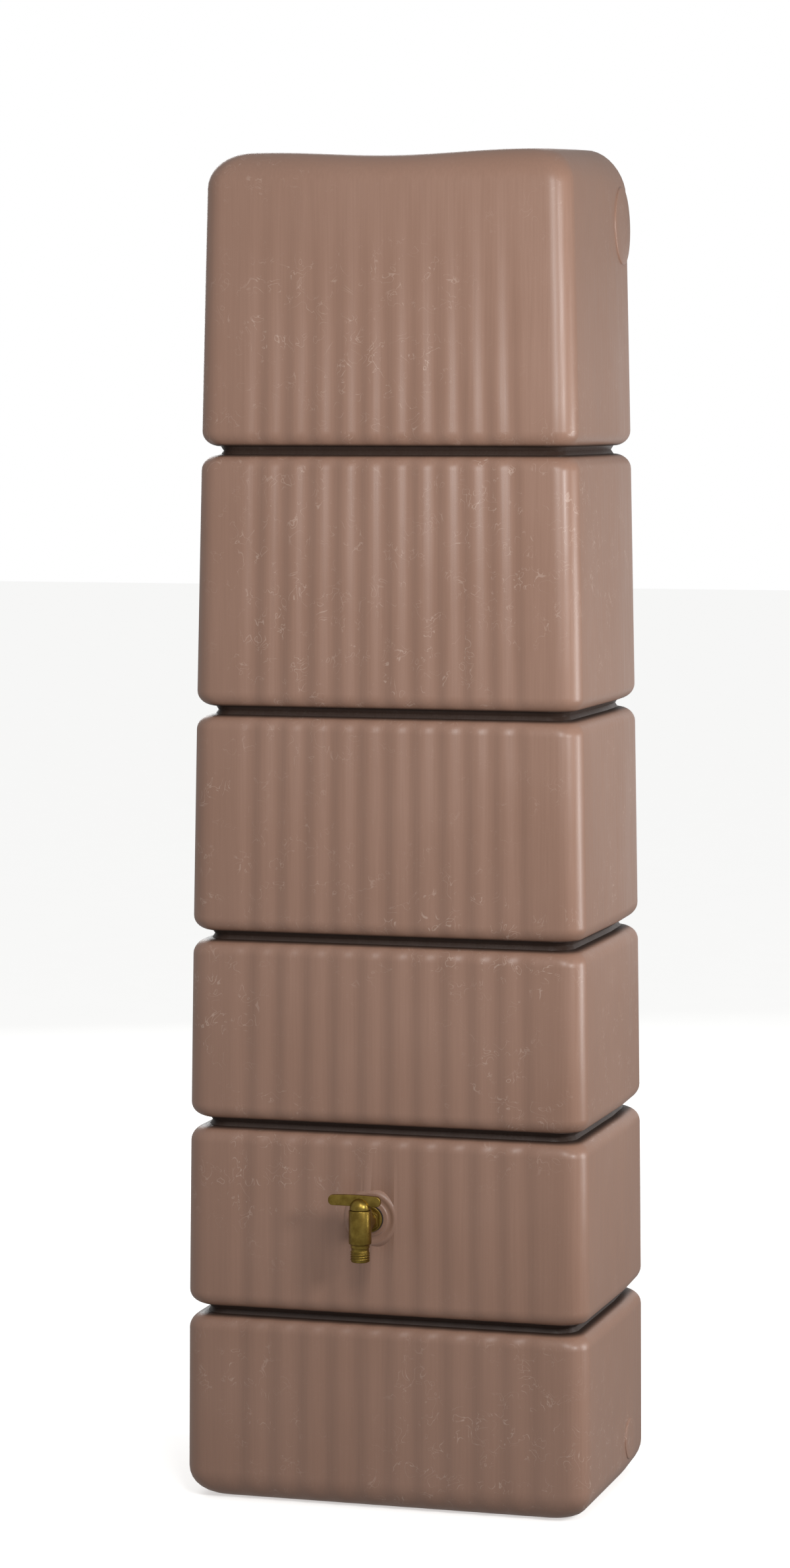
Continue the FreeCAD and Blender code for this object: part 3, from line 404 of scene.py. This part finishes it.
def brass(name, rough):
    """Brass, cast or turned and then tumbled: a satin yellow metal, dull olive where air has got at it."""
    finish, tree, place, shader = new_finish(name)
    if tree is None:
        return finish
    look = tap_settings()
    # tarnish in clouds about 12 mm across
    tarnish = noise(tree, place, 85.0, 4.0, roughness=0.6)
    dulled = spread(tree, tarnish, 0.38, 0.62, 0.15, 0.8)
    # tumbling leaves a fine orange-peel about 1.2 mm across
    peel = noise(tree, place, 820.0, 2.0)
    feed(tree, shader, {
        "Base Color": blend(tree, dulled, look.brass[:], look.brass_dark[:]), "Metallic": 1.0,
        "Roughness": spread(tree, tarnish, 0.35, 0.65, rough - 0.05, rough + 0.07),
        "Normal": relief(tree, peel, 0.25, 0.0001)})
    return finish


def tap_brass():
    return brass("cast tumbled brass", 0.36)


def turned_brass():
    return brass("turned brass", 0.27)


def nitrile_rubber():
    """Moulded nitrile rubber: near black, dull, with a bloom of dust."""
    finish, tree, place, shader = new_finish("nitrile rubber")
    if tree is None:
        return finish
    # the bloom lies in specks about 4 mm across
    bloom = noise(tree, place, 240.0, 3.0)
    feed(tree, shader, {
        "Base Color": blend(tree, bloom, linear("#141414"), linear("#2A2928")), "Roughness": 0.72,
        "Normal": relief(tree, bloom, 0.3, 0.0001), "IOR": 1.52})
    return finish


def spring_steel():
    """Stamped spring steel: grey, with the fine lines of rolling."""
    finish, tree, place, shader = new_finish("stamped spring steel")
    if tree is None:
        return finish
    # rolling lines 0.4 mm wide and about 8 mm long
    rolled = noise(tree, stretched(tree, place, (2500.0, 120.0, 120.0)), 1.0, 2.0)
    feed(tree, shader, {
        "Base Color": blend(tree, rolled, linear("#8C8E90"), linear("#AEB0B2")), "Metallic": 1.0,
        "Roughness": spread(tree, rolled, 0.0, 1.0, 0.25, 0.42)})
    return finish


# The moulded shell


def face_y(z):
    """The front at a height, at the flutes' crests."""
    return -HALF_DEPTH + LEAN * (z / HEIGHT) ** 2


def half_width(z):
    """Half the width at a height, over the creases."""
    return BASE_HALF - TAPER * (z / HEIGHT) ** TAPER_POWER


def arc(start_spot, end_spot, upright_first, steps):
    """Heights and insets along a quarter round, without its start."""
    (z0, in0), (z1, in1) = start_spot, end_spot
    found = []
    for k in range(1, steps + 1):
        turn = math.pi / 2 * k / steps
        rise, run = math.sin(turn), 1 - math.cos(turn)
        if not upright_first:
            rise, run = run, rise
        found.append((z0 + rise * (z1 - z0), in0 + run * (in1 - in0)))
    return found


def block_levels(look):
    """Every level of the shell from the base up, each (height, inset)."""
    half, edge = look.groove_gap / 2, look.block_round
    levels = [(0.0, look.base_round)]
    levels += arc(levels[-1], (look.base_round, 0.0), False, GROOVE_STEPS)
    for centre in GROOVES:
        below, above = centre - half - edge, centre + half + edge
        levels.append((below, 0.0))
        levels += arc((below, 0.0), (centre - half, edge), True, GROOVE_STEPS)
        levels.append((centre, edge + look.groove_tail))
        levels.append((centre + half, edge))
        levels += arc((centre + half, edge), (above, 0.0), False, GROOVE_STEPS)
    shoulder = HEIGHT - look.top_round
    last = levels[-1][0]
    # the top block is tall, and its flutes fade over its height, so it's cut on the way up
    cuts = 8
    levels += [(last + (shoulder - last) * k / cuts, 0.0) for k in range(1, cuts + 1)]
    levels += arc((shoulder, 0.0), (HEIGHT, look.top_round), True, TOP_STEPS)
    return levels


def plan_outline(look):
    """The base's outline as a flat face: sides that draw in from the crease, rounded corners, and columns."""
    bpy.ops.object.select_all(action="DESELECT")
    bpy.ops.mesh.primitive_plane_add(size=2)
    plan = bpy.context.object
    plan.scale = (BASE_HALF, HALF_DEPTH, 1)
    plan = start("moulded_tank")
    bpy.ops.object.mode_set(mode="EDIT")
    bpy.ops.mesh.select_all(action="SELECT")
    bpy.ops.mesh.bisect(plane_co=(0, CREASE_Y, 0), plane_no=(0, 1, 0))
    for side, reach in ((-1, FRONT_CORNER_X), (1, REAR_CORNER_X)):
        pick("VERT", lambda v: v.co.y * side > HALF_DEPTH * 0.9)
        bpy.ops.transform.resize(value=(reach / BASE_HALF, 1, 1), center_override=(0, 0, 0))
    for side, radius in ((-1, look.front_corner), (1, look.rear_corner)):
        pick("VERT", lambda v: v.co.y * side > HALF_DEPTH * 0.9)
        bpy.ops.mesh.bevel(
            affect="VERTICES", offset=radius, offset_type="OFFSET", segments=CORNER_STEPS, profile=0.5)
    for y, cuts in ((-HALF_DEPTH, FRONT_CUTS), (HALF_DEPTH, REAR_CUTS)):
        pick("EDGE", lambda e: abs(middle(e).y - y) < CLOSE and abs(middle(e).x) < 0.01)
        bpy.ops.mesh.subdivide(number_cuts=cuts)
    # the straight parts of the sides, in front of the crease and behind it
    pick("EDGE", lambda e: abs(middle(e).x) > 0.27 and e.calc_length() > 0.05)
    bpy.ops.mesh.subdivide(number_cuts=SIDE_CUTS)
    return plan


def raise_walls(look):
    """Extrude the outline from level to level, resizing it each time."""
    levels = block_levels(look)
    z, inset = levels[0]
    bpy.ops.mesh.select_mode(type="FACE")
    bpy.ops.mesh.select_all(action="SELECT")
    width = half_width(z) - inset
    depth = 2 * HALF_DEPTH - 2 * inset
    bpy.ops.transform.resize(
        value=(width / BASE_HALF, depth / (2 * HALF_DEPTH), 1), center_override=(0, 0, 0))
    rear = HALF_DEPTH - inset
    for next_z, next_inset in levels[1:]:
        bpy.ops.mesh.extrude_region_move()
        next_width = half_width(next_z) - next_inset
        next_rear = HALF_DEPTH - next_inset
        next_depth = next_rear - face_y(next_z) - next_inset
        bpy.ops.transform.resize(
            value=(next_width / width, next_depth / depth, 1), center_override=(0, rear, z))
        bpy.ops.transform.translate(value=(0, next_rear - rear, next_z - z))
        width, depth, rear, z = next_width, next_depth, next_rear, next_z


def sink_recess():
    """Open the top, bridge it to the lid's recess, and go down to the neck's lower end, closed for now."""
    bpy.ops.mesh.delete(type="FACE")
    rim = pick("VERT", lambda v: v.co.z > HEIGHT - NEAR)
    bpy.ops.mesh.primitive_circle_add(vertices=rim, radius=LIP_R, location=(0, 0, HEIGHT))
    pick("EDGE", lambda e: all(v.co.z > HEIGHT - NEAR for v in e.verts))
    bpy.ops.mesh.bridge_edge_loops(number_cuts=TOP_CUTS, interpolation="LINEAR")
    pick("EDGE", lambda e: e.is_boundary and middle(e).xy.length < LIP_R + 0.001)
    r, z = LIP_R, HEIGHT
    for next_r, next_z in (
            # the lip, then the recess's wall and the corner into its floor
            (0.0912, HEIGHT - 0.0004), (0.0903, HEIGHT - 0.0012), (RECESS_R, HEIGHT - 0.0025),
            (RECESS_R, RECESS_Z + 0.0015), (0.0896, RECESS_Z + 0.0004), (0.0885, RECESS_Z),
            # the floor's inner edge, and the neck
            (0.0765, RECESS_Z), (0.0754, RECESS_Z - 0.0004), (NECK_R, RECESS_Z - 0.0015), (NECK_R, NECK_Z)):
        bpy.ops.mesh.extrude_edges_move()
        bpy.ops.transform.resize(value=(next_r / r, next_r / r, 1), center_override=(0, 0, z))
        bpy.ops.transform.translate(value=(0, 0, next_z - z))
        r, z = next_r, next_z
    bpy.ops.mesh.edge_face_add()
    bpy.ops.mesh.select_all(action="SELECT")
    bpy.ops.mesh.normals_make_consistent(inside=False)


def move_by_weight(shell, name, direction, strength, weight_of):
    """Paint a vertex group by a rule and push the mesh along one axis by it."""
    only(shell)
    group = shell.vertex_groups.new(name=name)
    for v in shell.data.vertices:
        share = weight_of(v.co)
        if share > 0:
            group.add([v.index], share, "REPLACE")
    push = shell.modifiers.new(name, "DISPLACE")
    push.direction = direction
    push.strength = strength
    push.mid_level = 0.0
    push.vertex_group = name
    bpy.ops.object.modifier_apply(modifier=push.name)
    shell.vertex_groups.clear()


def flute_weight(look):
    """A wave across the front that fades into the roundings and up the top block."""
    top_start = GROOVES[-1] + look.groove_gap / 2 + look.block_round
    shoulder = HEIGHT - look.top_round

    def weight(co):
        inset = co.y - face_y(co.z)
        pitch = PITCH_BASE - PITCH_DROP * co.z / HEIGHT
        if inset > look.base_round or abs(co.x) > FLUTES * pitch / 2 or co.z > shoulder:
            return 0.0
        edge = look.base_round if co.z < look.base_round else look.block_round
        fade = max(0.0, 1 - max(inset, 0.0) / edge) ** 1.25
        rise = max(0.0, co.z - top_start) / (shoulder - top_start)
        return (1 + math.cos(2 * math.pi * co.x / pitch)) / 2 * fade * (1 - rise)

    return weight


def in_recess(co):
    """Whether a point of the top is below the lip of the lid's recess."""
    return co.xy.length < RECESS_R + NEAR and co.z < HEIGHT - 0.003


def slope_weight(look):
    """The top's rise from front to rear, growing over the rounding, and not in the lid's recess."""
    shoulder = HEIGHT - look.top_round
    front, rear = face_y(HEIGHT) + look.top_round, HALF_DEPTH - look.top_round

    def weight(co):
        if co.z < shoulder or in_recess(co):
            return 0.0
        rise = min(1.0, (co.z - shoulder) / look.top_round)
        return max(0.0, (co.y - front) / (rear - front)) * rise ** 2

    return weight


def saddle_weight(look):
    """The dip along the middle of the top, growing over the rounding, and not in the lid's recess."""
    shoulder = HEIGHT - look.top_round

    def weight(co):
        if co.z < shoulder or abs(co.x) > look.saddle_half or in_recess(co):
            return 0.0
        rise = min(1.0, (co.z - shoulder) / look.top_round)
        return 0.5 * (1 + math.cos(math.pi * co.x / look.saddle_half)) * rise ** 2

    return weight


def side_pad(side, radius, rise, y, z):
    """A round pad on a side wall, square to the wall there."""
    draft = (BASE_HALF - REAR_CORNER_X) / (HALF_DEPTH - CREASE_Y)
    lean = draft if y > CREASE_Y else 0.0
    rise_rate = TAPER_POWER * TAPER * (z / HEIGHT) ** (TAPER_POWER - 1) / HEIGHT
    out = Vector((side, lean, rise_rate)).normalized()
    pad = turned("pad", [
        (radius + 0.6, -21), (radius + 0.6, -2.5), (radius + 0.1, -0.8), (radius - 0.4, rise * 0.55),
        (radius - 1.2, rise * 0.88), (radius - 2.4, rise), (radius * 0.5, rise)], 96)
    spot = Vector((side * (half_width(z) - max(0.0, y - CREASE_Y) * draft), y, z))
    return put(pad, spot, out.to_track_quat("Z", "Y").to_euler())


def at_seat(thing):
    """Turn a piece made upright to point out of the tank, and move it to the tap's seat."""
    return put(thing, (TAP_X, SEAT_Y, TAP_Z), (math.pi / 2, 0, 0))


def tap_seat():
    """Flat seat with a sunk ring and a soft raised rim, where the tap is screwed in."""
    return at_seat(turned("seat", [
        (41.5, -7.0), (41.5, -5.6), (39.4, -3.3), (37.7, -1.7), (36.2, -0.6), (34.9, -0.06), (33.6, 0.1),
        (32.3, -0.06), (31.0, -0.5), (29.9, -1.0), (28.6, -1.35), (27.0, -1.45), (25.6, -1.35), (24.8, -1.0),
        (24.3, -0.4), (23.9, -0.08), (23.2, 0.0), (12.0, 0.0)], 96))


class TANK_OT_shell(bpy.types.Operator):
    """Blow-moulded shell with its grooves, flutes, pads and the lid's recess"""

    bl_idname = "tank.shell"
    bl_label = "Moulded shell"

    def execute(self, context):
        look = tank_settings()
        shell = plan_outline(look)
        raise_walls(look)
        sink_recess()
        bpy.ops.object.mode_set(mode="OBJECT")
        move_by_weight(shell, "flutes", "Y", look.flute_depth, flute_weight(look))
        move_by_weight(shell, "slope", "Z", TOP_SLOPE, slope_weight(look))
        move_by_weight(shell, "saddle", "Z", -look.saddle, saddle_weight(look))
        pads = [side_pad(side, *pad) for side in (1, -1) for pad in PADS]
        shape_with(shell, join(tap_seat(), pads), "UNION")
        only(shell)
        bpy.ops.object.mode_set(mode="EDIT")
        # open the neck's lower end, so that the wall gets an inside
        pick("FACE", lambda f: abs(f.calc_center_median().z - NECK_Z) < NEAR
             and f.calc_center_median().xy.length < NECK_R - 0.001)
        bpy.ops.mesh.delete(type="ONLY_FACE")
        bpy.ops.object.mode_set(mode="OBJECT")
        wall = shell.modifiers.new("wall", "SOLIDIFY")
        wall.thickness = look.wall
        wall.offset = -1
        bpy.ops.object.modifier_apply(modifier=wall.name)
        # the bush's hole, and the boss round it inside the wall
        hole = 17.1
        shape_with(shell, at_seat(turned("bore", [(hole, -30), (hole, 30)])), "DIFFERENCE")
        boss = turned("boss", [(hole, -14), (23.2, -14), (23.4, -3.0), (hole, -3.0)], core=True)
        join(shell, [at_seat(boss)])
        smooth(shell, 40)
        dress(shell, "tank", "moulded_tank", moulded_polyethylene(), "tank_shell")
        return {"FINISHED"}


class TANK_OT_lid(bpy.types.Operator):
    """Lift-off lid with its skirt, hand dish and grip bar"""

    bl_idname = "tank.lid"
    bl_label = "Lid"

    def execute(self, context):
        # the skirt's lower end, 16 mm under the recess's floor
        base = RECESS_Z / MM - 16
        lid = turned("moulded_lid", [(r, base + z) for r, z in (
            # skirt and brim
            (71.8, 0.3), (72.4, 0), (74.0, 0), (74.6, 0.5), (74.6, 15.4), (75.2, 16), (86.2, 16), (87, 16.7),
            (87, 18.2), (86.2, 19), (70.4, 19),
            # raised ring and the dish for the hand
            (69.0, 19.4), (67.2, 23.8), (65.8, 24.8), (64.6, 25), (43.4, 25), (42.2, 24.7), (41.2, 23.8),
            (39.3, 16.6), (38.3, 15.6), (37.0, 15.4), (20, 15.4), (8, 15.4), (2, 15.4),
            # underside
            (2, 12.4), (40.6, 12.4), (42.4, 13.2), (44.4, 20.9), (45.6, 22), (62.6, 22), (63.8, 21.4),
            (71.6, 15.2))], 128, core=True)
        # what closes the small hole in the middle, and the grip bar over it
        dot = turned("dot", [(2.4, base + 12.5), (2.4, base + 15.3)], 24)
        bar = turned("bar", [(6, base + 14), (6, base + 23.4), (5.4, base + 24.4), (4.4, base + 24.9)], 48)
        only(bar)
        bpy.ops.object.mode_set(mode="EDIT")
        half_bar = 0.0305
        for side in (1, -1):
            pick("VERT", lambda v: v.co.x * side > -CLOSE)
            bpy.ops.transform.translate(value=(side * half_bar, 0, 0))
        bpy.ops.object.mode_set(mode="OBJECT")
        join(lid, [dot, bar])
        smooth(lid)
        dress(lid, "lid", "lid", moulded_polyethylene(), "tank_lid")
        return {"FINISHED"}


# The tap


def at_tap(thing):
    """Move a piece made about the spout's lower end to its place."""
    return put(thing, (TAP_X, BARREL_Y, SPOUT_Z))


def at_inlet(thing):
    """Turn a piece made upright to point at the tank, and move it to the inlet's axis."""
    return put(thing, (TAP_X, BARREL_Y, TAP_Z), (-math.pi / 2, 0, 0))


def thread_ridge(look):
    """A rounded helical ridge round the spout."""
    turns, half_height = 3.8, look.ridge_pitch * 0.36
    root_radius, first_z = 0.0120, 0.0019
    bpy.ops.object.select_all(action="DESELECT")
    bpy.ops.mesh.primitive_circle_add(vertices=12, radius=1, location=(0, 0, 0), rotation=(math.pi / 2, 0, 0))
    ridge = bpy.context.object
    ridge.scale = (look.ridge_rise, half_height, 1)
    ridge = start("thread_ridge")
    put(ridge, (root_radius, 0, first_z))
    coil = ridge.modifiers.new("turns", "SCREW")
    coil.axis = "Z"
    coil.angle = math.radians(360 * turns)
    coil.screw_offset = look.ridge_pitch * turns
    coil.steps = coil.render_steps = 160
    coil.use_normal_calculate = True
    bpy.ops.object.modifier_apply(modifier=coil.name)
    bpy.ops.object.mode_set(mode="EDIT")
    pick("EDGE", lambda e: e.is_boundary)
    bpy.ops.mesh.fill()
    bpy.ops.mesh.select_all(action="SELECT")
    bpy.ops.mesh.normals_make_consistent(inside=False)
    bpy.ops.object.mode_set(mode="OBJECT")
    return at_tap(ridge)


class TANK_OT_tap(bpy.types.Operator):
    """Tap body: barrel, threaded spout, inlet collar, hexagon and flange"""

    bl_idname = "tank.tap"
    bl_label = "Tap body"

    def execute(self, context):
        look = tap_settings()
        barrel = at_tap(turned("tap_barrel", [
            (11.0, 0), (11.8, 0.5), (12.2, 1.2), (12.2, 15.2), (12.0, 15.8), (11.9, 16.6), (12.1, 18.8),
            (12.5, 19.6), (12.9, 20.1), (12.9, 23.0), (13.1, 23.7), (13.8, 24.3), (14.7, 24.8), (15.2, 25.6),
            (15.39, 26.8), (15.39, 69.6), (15.1, 70.4), (14.5, 70.9), (13.8, 71.0)], 80))
        bpy.ops.object.select_all(action="DESELECT")
        hexagon_radius, hexagon_depth, hexagon_z = 0.01617, 0.0082, 0.0383
        bpy.ops.mesh.primitive_cylinder_add(
            vertices=6, radius=hexagon_radius, depth=hexagon_depth, location=(0, 0, hexagon_z))
        hexagon = start("tap_hexagon")
        soften(hexagon, 0.7)
        at_inlet(hexagon)
        collar = at_inlet(turned("tap_collar", [
            (12.2, 0), (12.2, 31.5), (12.6, 33.0), (13.4, 34.0), (13.4, 42.2), (17.3, 42.2), (17.8, 42.5),
            (18.0, 43.1), (18.0, 45.4), (17.6, 46.0), (13.2, 46.0), (13.2, 60.4), (12.4, 61.0)], 80))
        shape_with(barrel, hexagon, "UNION")
        shape_with(barrel, collar, "UNION")
        bores = at_tap(turned("bores", [(8.0, -2), (8.0, 28.2), (11.5, 28.2), (11.5, 73)], 64))
        shape_with(barrel, bores, "DIFFERENCE")
        shape_with(barrel, at_inlet(turned("water_way", [(7.5, 1), (7.5, 63)], 48)), "DIFFERENCE")
        join(barrel, [thread_ridge(look)])
        smooth(barrel)
        dress(barrel, "tank", "tap_brass", tap_brass(), "tap_body")
        return {"FINISHED"}


class TANK_OT_lever(bpy.types.Operator):
    """Lever: domed hub with the crosswise blade"""

    bl_idname = "tank.lever"
    bl_label = "Lever"

    def execute(self, context):
        # the hub in millimetres above the spout's lower end: a short wall, then a half ball
        base, radius, steps = 71.5, 14.3, 12
        brim = base + 1.6
        dome = [(13.9, base), (radius, base + 0.4), (radius, brim)]
        for k in range(1, steps):
            turn = math.pi / 2 * k / steps
            dome.append((radius * math.cos(turn), brim + radius * math.sin(turn)))
        dome.append((0.3, brim + radius))
        hub = turned("tap_lever_piece", dome, 80)
        bpy.ops.object.select_all(action="DESELECT")
        bpy.ops.mesh.primitive_cube_add(size=1)
        blade = bpy.context.object
        long_arm, short_arm, tall, thick = 0.0446, 0.029, 0.0138, 0.0066
        end_round, crown_rise = 0.0062, 0.0016
        low = (base + 4.6) * MM
        centre, half = (short_arm - long_arm) / 2, (short_arm + long_arm) / 2
        blade.scale = (long_arm + short_arm, thick, tall)
        blade.location = (centre, 0, low + tall / 2)
        blade = start("blade")
        bpy.ops.object.mode_set(mode="EDIT")
        pick("EDGE", lambda e: abs(e.verts[0].co.y - e.verts[1].co.y) > thick * 0.5)
        bpy.ops.mesh.bevel(affect="EDGES", offset=end_round, segments=8, profile=0.5)
        pick("EDGE", lambda e: e.calc_length() > 0.03)
        bpy.ops.mesh.subdivide(number_cuts=11)
        bpy.ops.object.mode_set(mode="OBJECT")

        def crown(co):
            """The blade's back rises towards its middle."""
            return max(0.0, 1 - ((co.x - centre) / half) ** 2) * max(0.0, (co.z - low) / tall)

        move_by_weight(blade, "crown", "Z", crown_rise, crown)
        soften(blade, 1.1, 50)
        shape_with(hub, blade, "UNION")
        at_tap(hub)
        smooth(hub)
        dress(hub, "lever", "tap_brass", tap_brass(), "tap_lever")
        return {"FINISHED"}


class TANK_OT_small_parts(bpy.types.Operator):
    """Finishes of the tap's inner pieces, whose CAD shapes are kept"""

    bl_idname = "tank.small_parts"
    bl_label = "Inner pieces"

    def execute(self, context):
        finishes = {
            "threaded_insert": turned_brass(),
            "valve_plug": turned_brass(),
            "inlet_seal": nitrile_rubber(),
            "plug_ring_lower": nitrile_rubber(),
            "plug_ring_upper": nitrile_rubber(),
            "plug_clip": spring_steel(),
        }
        for name, finish in finishes.items():
            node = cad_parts[name]
            node.data.materials.clear()
            node.data.materials.append(finish)
        return {"FINISHED"}


# The studio


def lamp(name, power, wide, tall, place, aim):
    """An area lamp that shines from a place at another."""
    data = bpy.data.lights.new(name, "AREA")
    data.energy = power
    data.shape = "RECTANGLE"
    data.size = wide
    data.size_y = tall
    thing = bpy.data.objects.new(name, data)
    bpy.context.scene.collection.objects.link(thing)
    thing.location = place
    thing.rotation_euler = (Vector(place) - Vector(aim)).to_track_quat("Z", "Y").to_euler()


class TANK_OT_stage(bpy.types.Operator):
    """Pale floor, soft light and the camera"""

    bl_idname = "tank.stage"
    bl_label = "Studio"

    def execute(self, context):
        scene = context.scene
        look = scene.studio_settings
        bpy.ops.object.select_all(action="DESELECT")
        bpy.ops.mesh.primitive_plane_add(size=60)
        floor = start("studio_floor")
        paint, tree, place, shader = new_finish("matt floor paint")
        # clouds about 0.11 m across, hardly paler than the rest
        feed(tree, shader, {
            "Base Color": blend(tree, noise(tree, place, 9.0, 2.0), look.ground[:], linear("#F8F8F6")),
            "Roughness": 0.9, "Emission Color": (1, 1, 1, 1), "Emission Strength": look.glow})
        floor.data.materials.append(paint)
        # hidden from these rays, so that it sends no light up at the tank
        floor.visible_diffuse = False
        floor.visible_glossy = False
        lamp("key_lamp", look.key_power, 0.6, 0.6, (2.4, -1.85, 1.75), (0.1, -0.1, 1.0))
        lamp("front_lamp", look.front_power, 0.45, 1.0, (0.62, -1.7, 1.9), (0.2, -0.1, 1.5))
        lamp("side_lamp", look.side_power, 0.8, 1.2, (2.3, 0.4, 0.9), (0.1, -0.1, 0.9))
        lamp("rear_lamp", look.rear_power, 0.5, 1.4, (0.55, 3.0, 1.1), (0.25, 0.1, 1.0))
        lamp("back_lamp", look.back_power, 2.0, 2.0, (-1.6, 3.4, 2.3), (0, 0, 0.9))
        world = bpy.data.worlds.new("daylight")
        world.use_nodes = True
        tree = world.node_tree
        # soft light mostly from above and from the left in front, against a white ground
        way = add(tree, "ShaderNodeTexCoord").outputs["Generated"]
        share = add(tree, "ShaderNodeVectorMath", {0: way, 1: (-0.4, -0.5, 0.77)}, operation="DOT_PRODUCT")
        level = spread(tree, share.outputs["Value"], -1.0, 1.0, 0.24, look.sky)
        seen = add(tree, "ShaderNodeLightPath").outputs["Is Camera Ray"]
        feed(tree, tree.nodes["Background"], {
            "Color": (1, 1, 1, 1), "Strength": sums(tree, "MAXIMUM", level, seen)})
        scene.world = world
        scene.view_settings.view_transform = "Standard"
        self.aim_camera(scene)
        return {"FINISHED"}

    def aim_camera(self, scene):
        """The photograph's view: a long lens, to the right of the front and 1.5 m above the ground."""
        turn, pitch = math.radians(16.19), math.radians(4.94)
        # metres from the tank's axis along the view and across it, and above the ground
        reach, off, lift = 5.9801, -0.0354, 1.5014
        # focal length and height of the photograph, in pixels
        focal, frame_height = 6552, 2381
        sensor = 36.0
        data = bpy.data.cameras.new("camera")
        data.sensor_width = sensor
        data.lens = sensor * focal / frame_height
        camera = bpy.data.objects.new("camera", data)
        scene.collection.objects.link(camera)
        camera.location = (
            off * math.cos(turn) + reach * math.sin(turn),
            off * math.sin(turn) - reach * math.cos(turn),
            lift)
        camera.rotation_euler = Euler((math.pi / 2 - pitch, 0, turn))
        scene.camera = camera


class TANK_PT_panel(bpy.types.Panel):
    """Panel that lists the pieces and their settings"""

    bl_label = "Slimline water tank"
    bl_idname = "TANK_PT_panel"
    bl_space_type = "VIEW_3D"
    bl_region_type = "UI"
    bl_category = "Tank"

    def draw(self, context):
        scene = context.scene
        for settings in (scene.tank_settings, scene.tap_settings, scene.studio_settings):
            box = self.layout.box()
            for key in settings.__annotations__:
                box.prop(settings, key)
        for operator in PIECES:
            self.layout.operator(operator.bl_idname)


PIECES = (TANK_OT_shell, TANK_OT_lid, TANK_OT_tap, TANK_OT_lever, TANK_OT_small_parts, TANK_OT_stage)
SETTINGS = {"tank_settings": TankSettings, "tap_settings": TapSettings, "studio_settings": StudioSettings}


def register():
    for group in (*SETTINGS.values(), *PIECES, TANK_PT_panel):
        bpy.utils.register_class(group)
    for name, group in SETTINGS.items():
        setattr(bpy.types.Scene, name, bpy.props.PointerProperty(type=group))


def unregister():
    for name in SETTINGS:
        delattr(bpy.types.Scene, name)
    for group in reversed((*SETTINGS.values(), *PIECES, TANK_PT_panel)):
        bpy.utils.unregister_class(group)


def main():
    register()
    bpy.ops.tank.shell()
    bpy.ops.tank.lid()
    bpy.ops.tank.tap()
    bpy.ops.tank.lever()
    bpy.ops.tank.small_parts()
    bpy.ops.tank.stage()


if __name__ == "__main__":
    main()
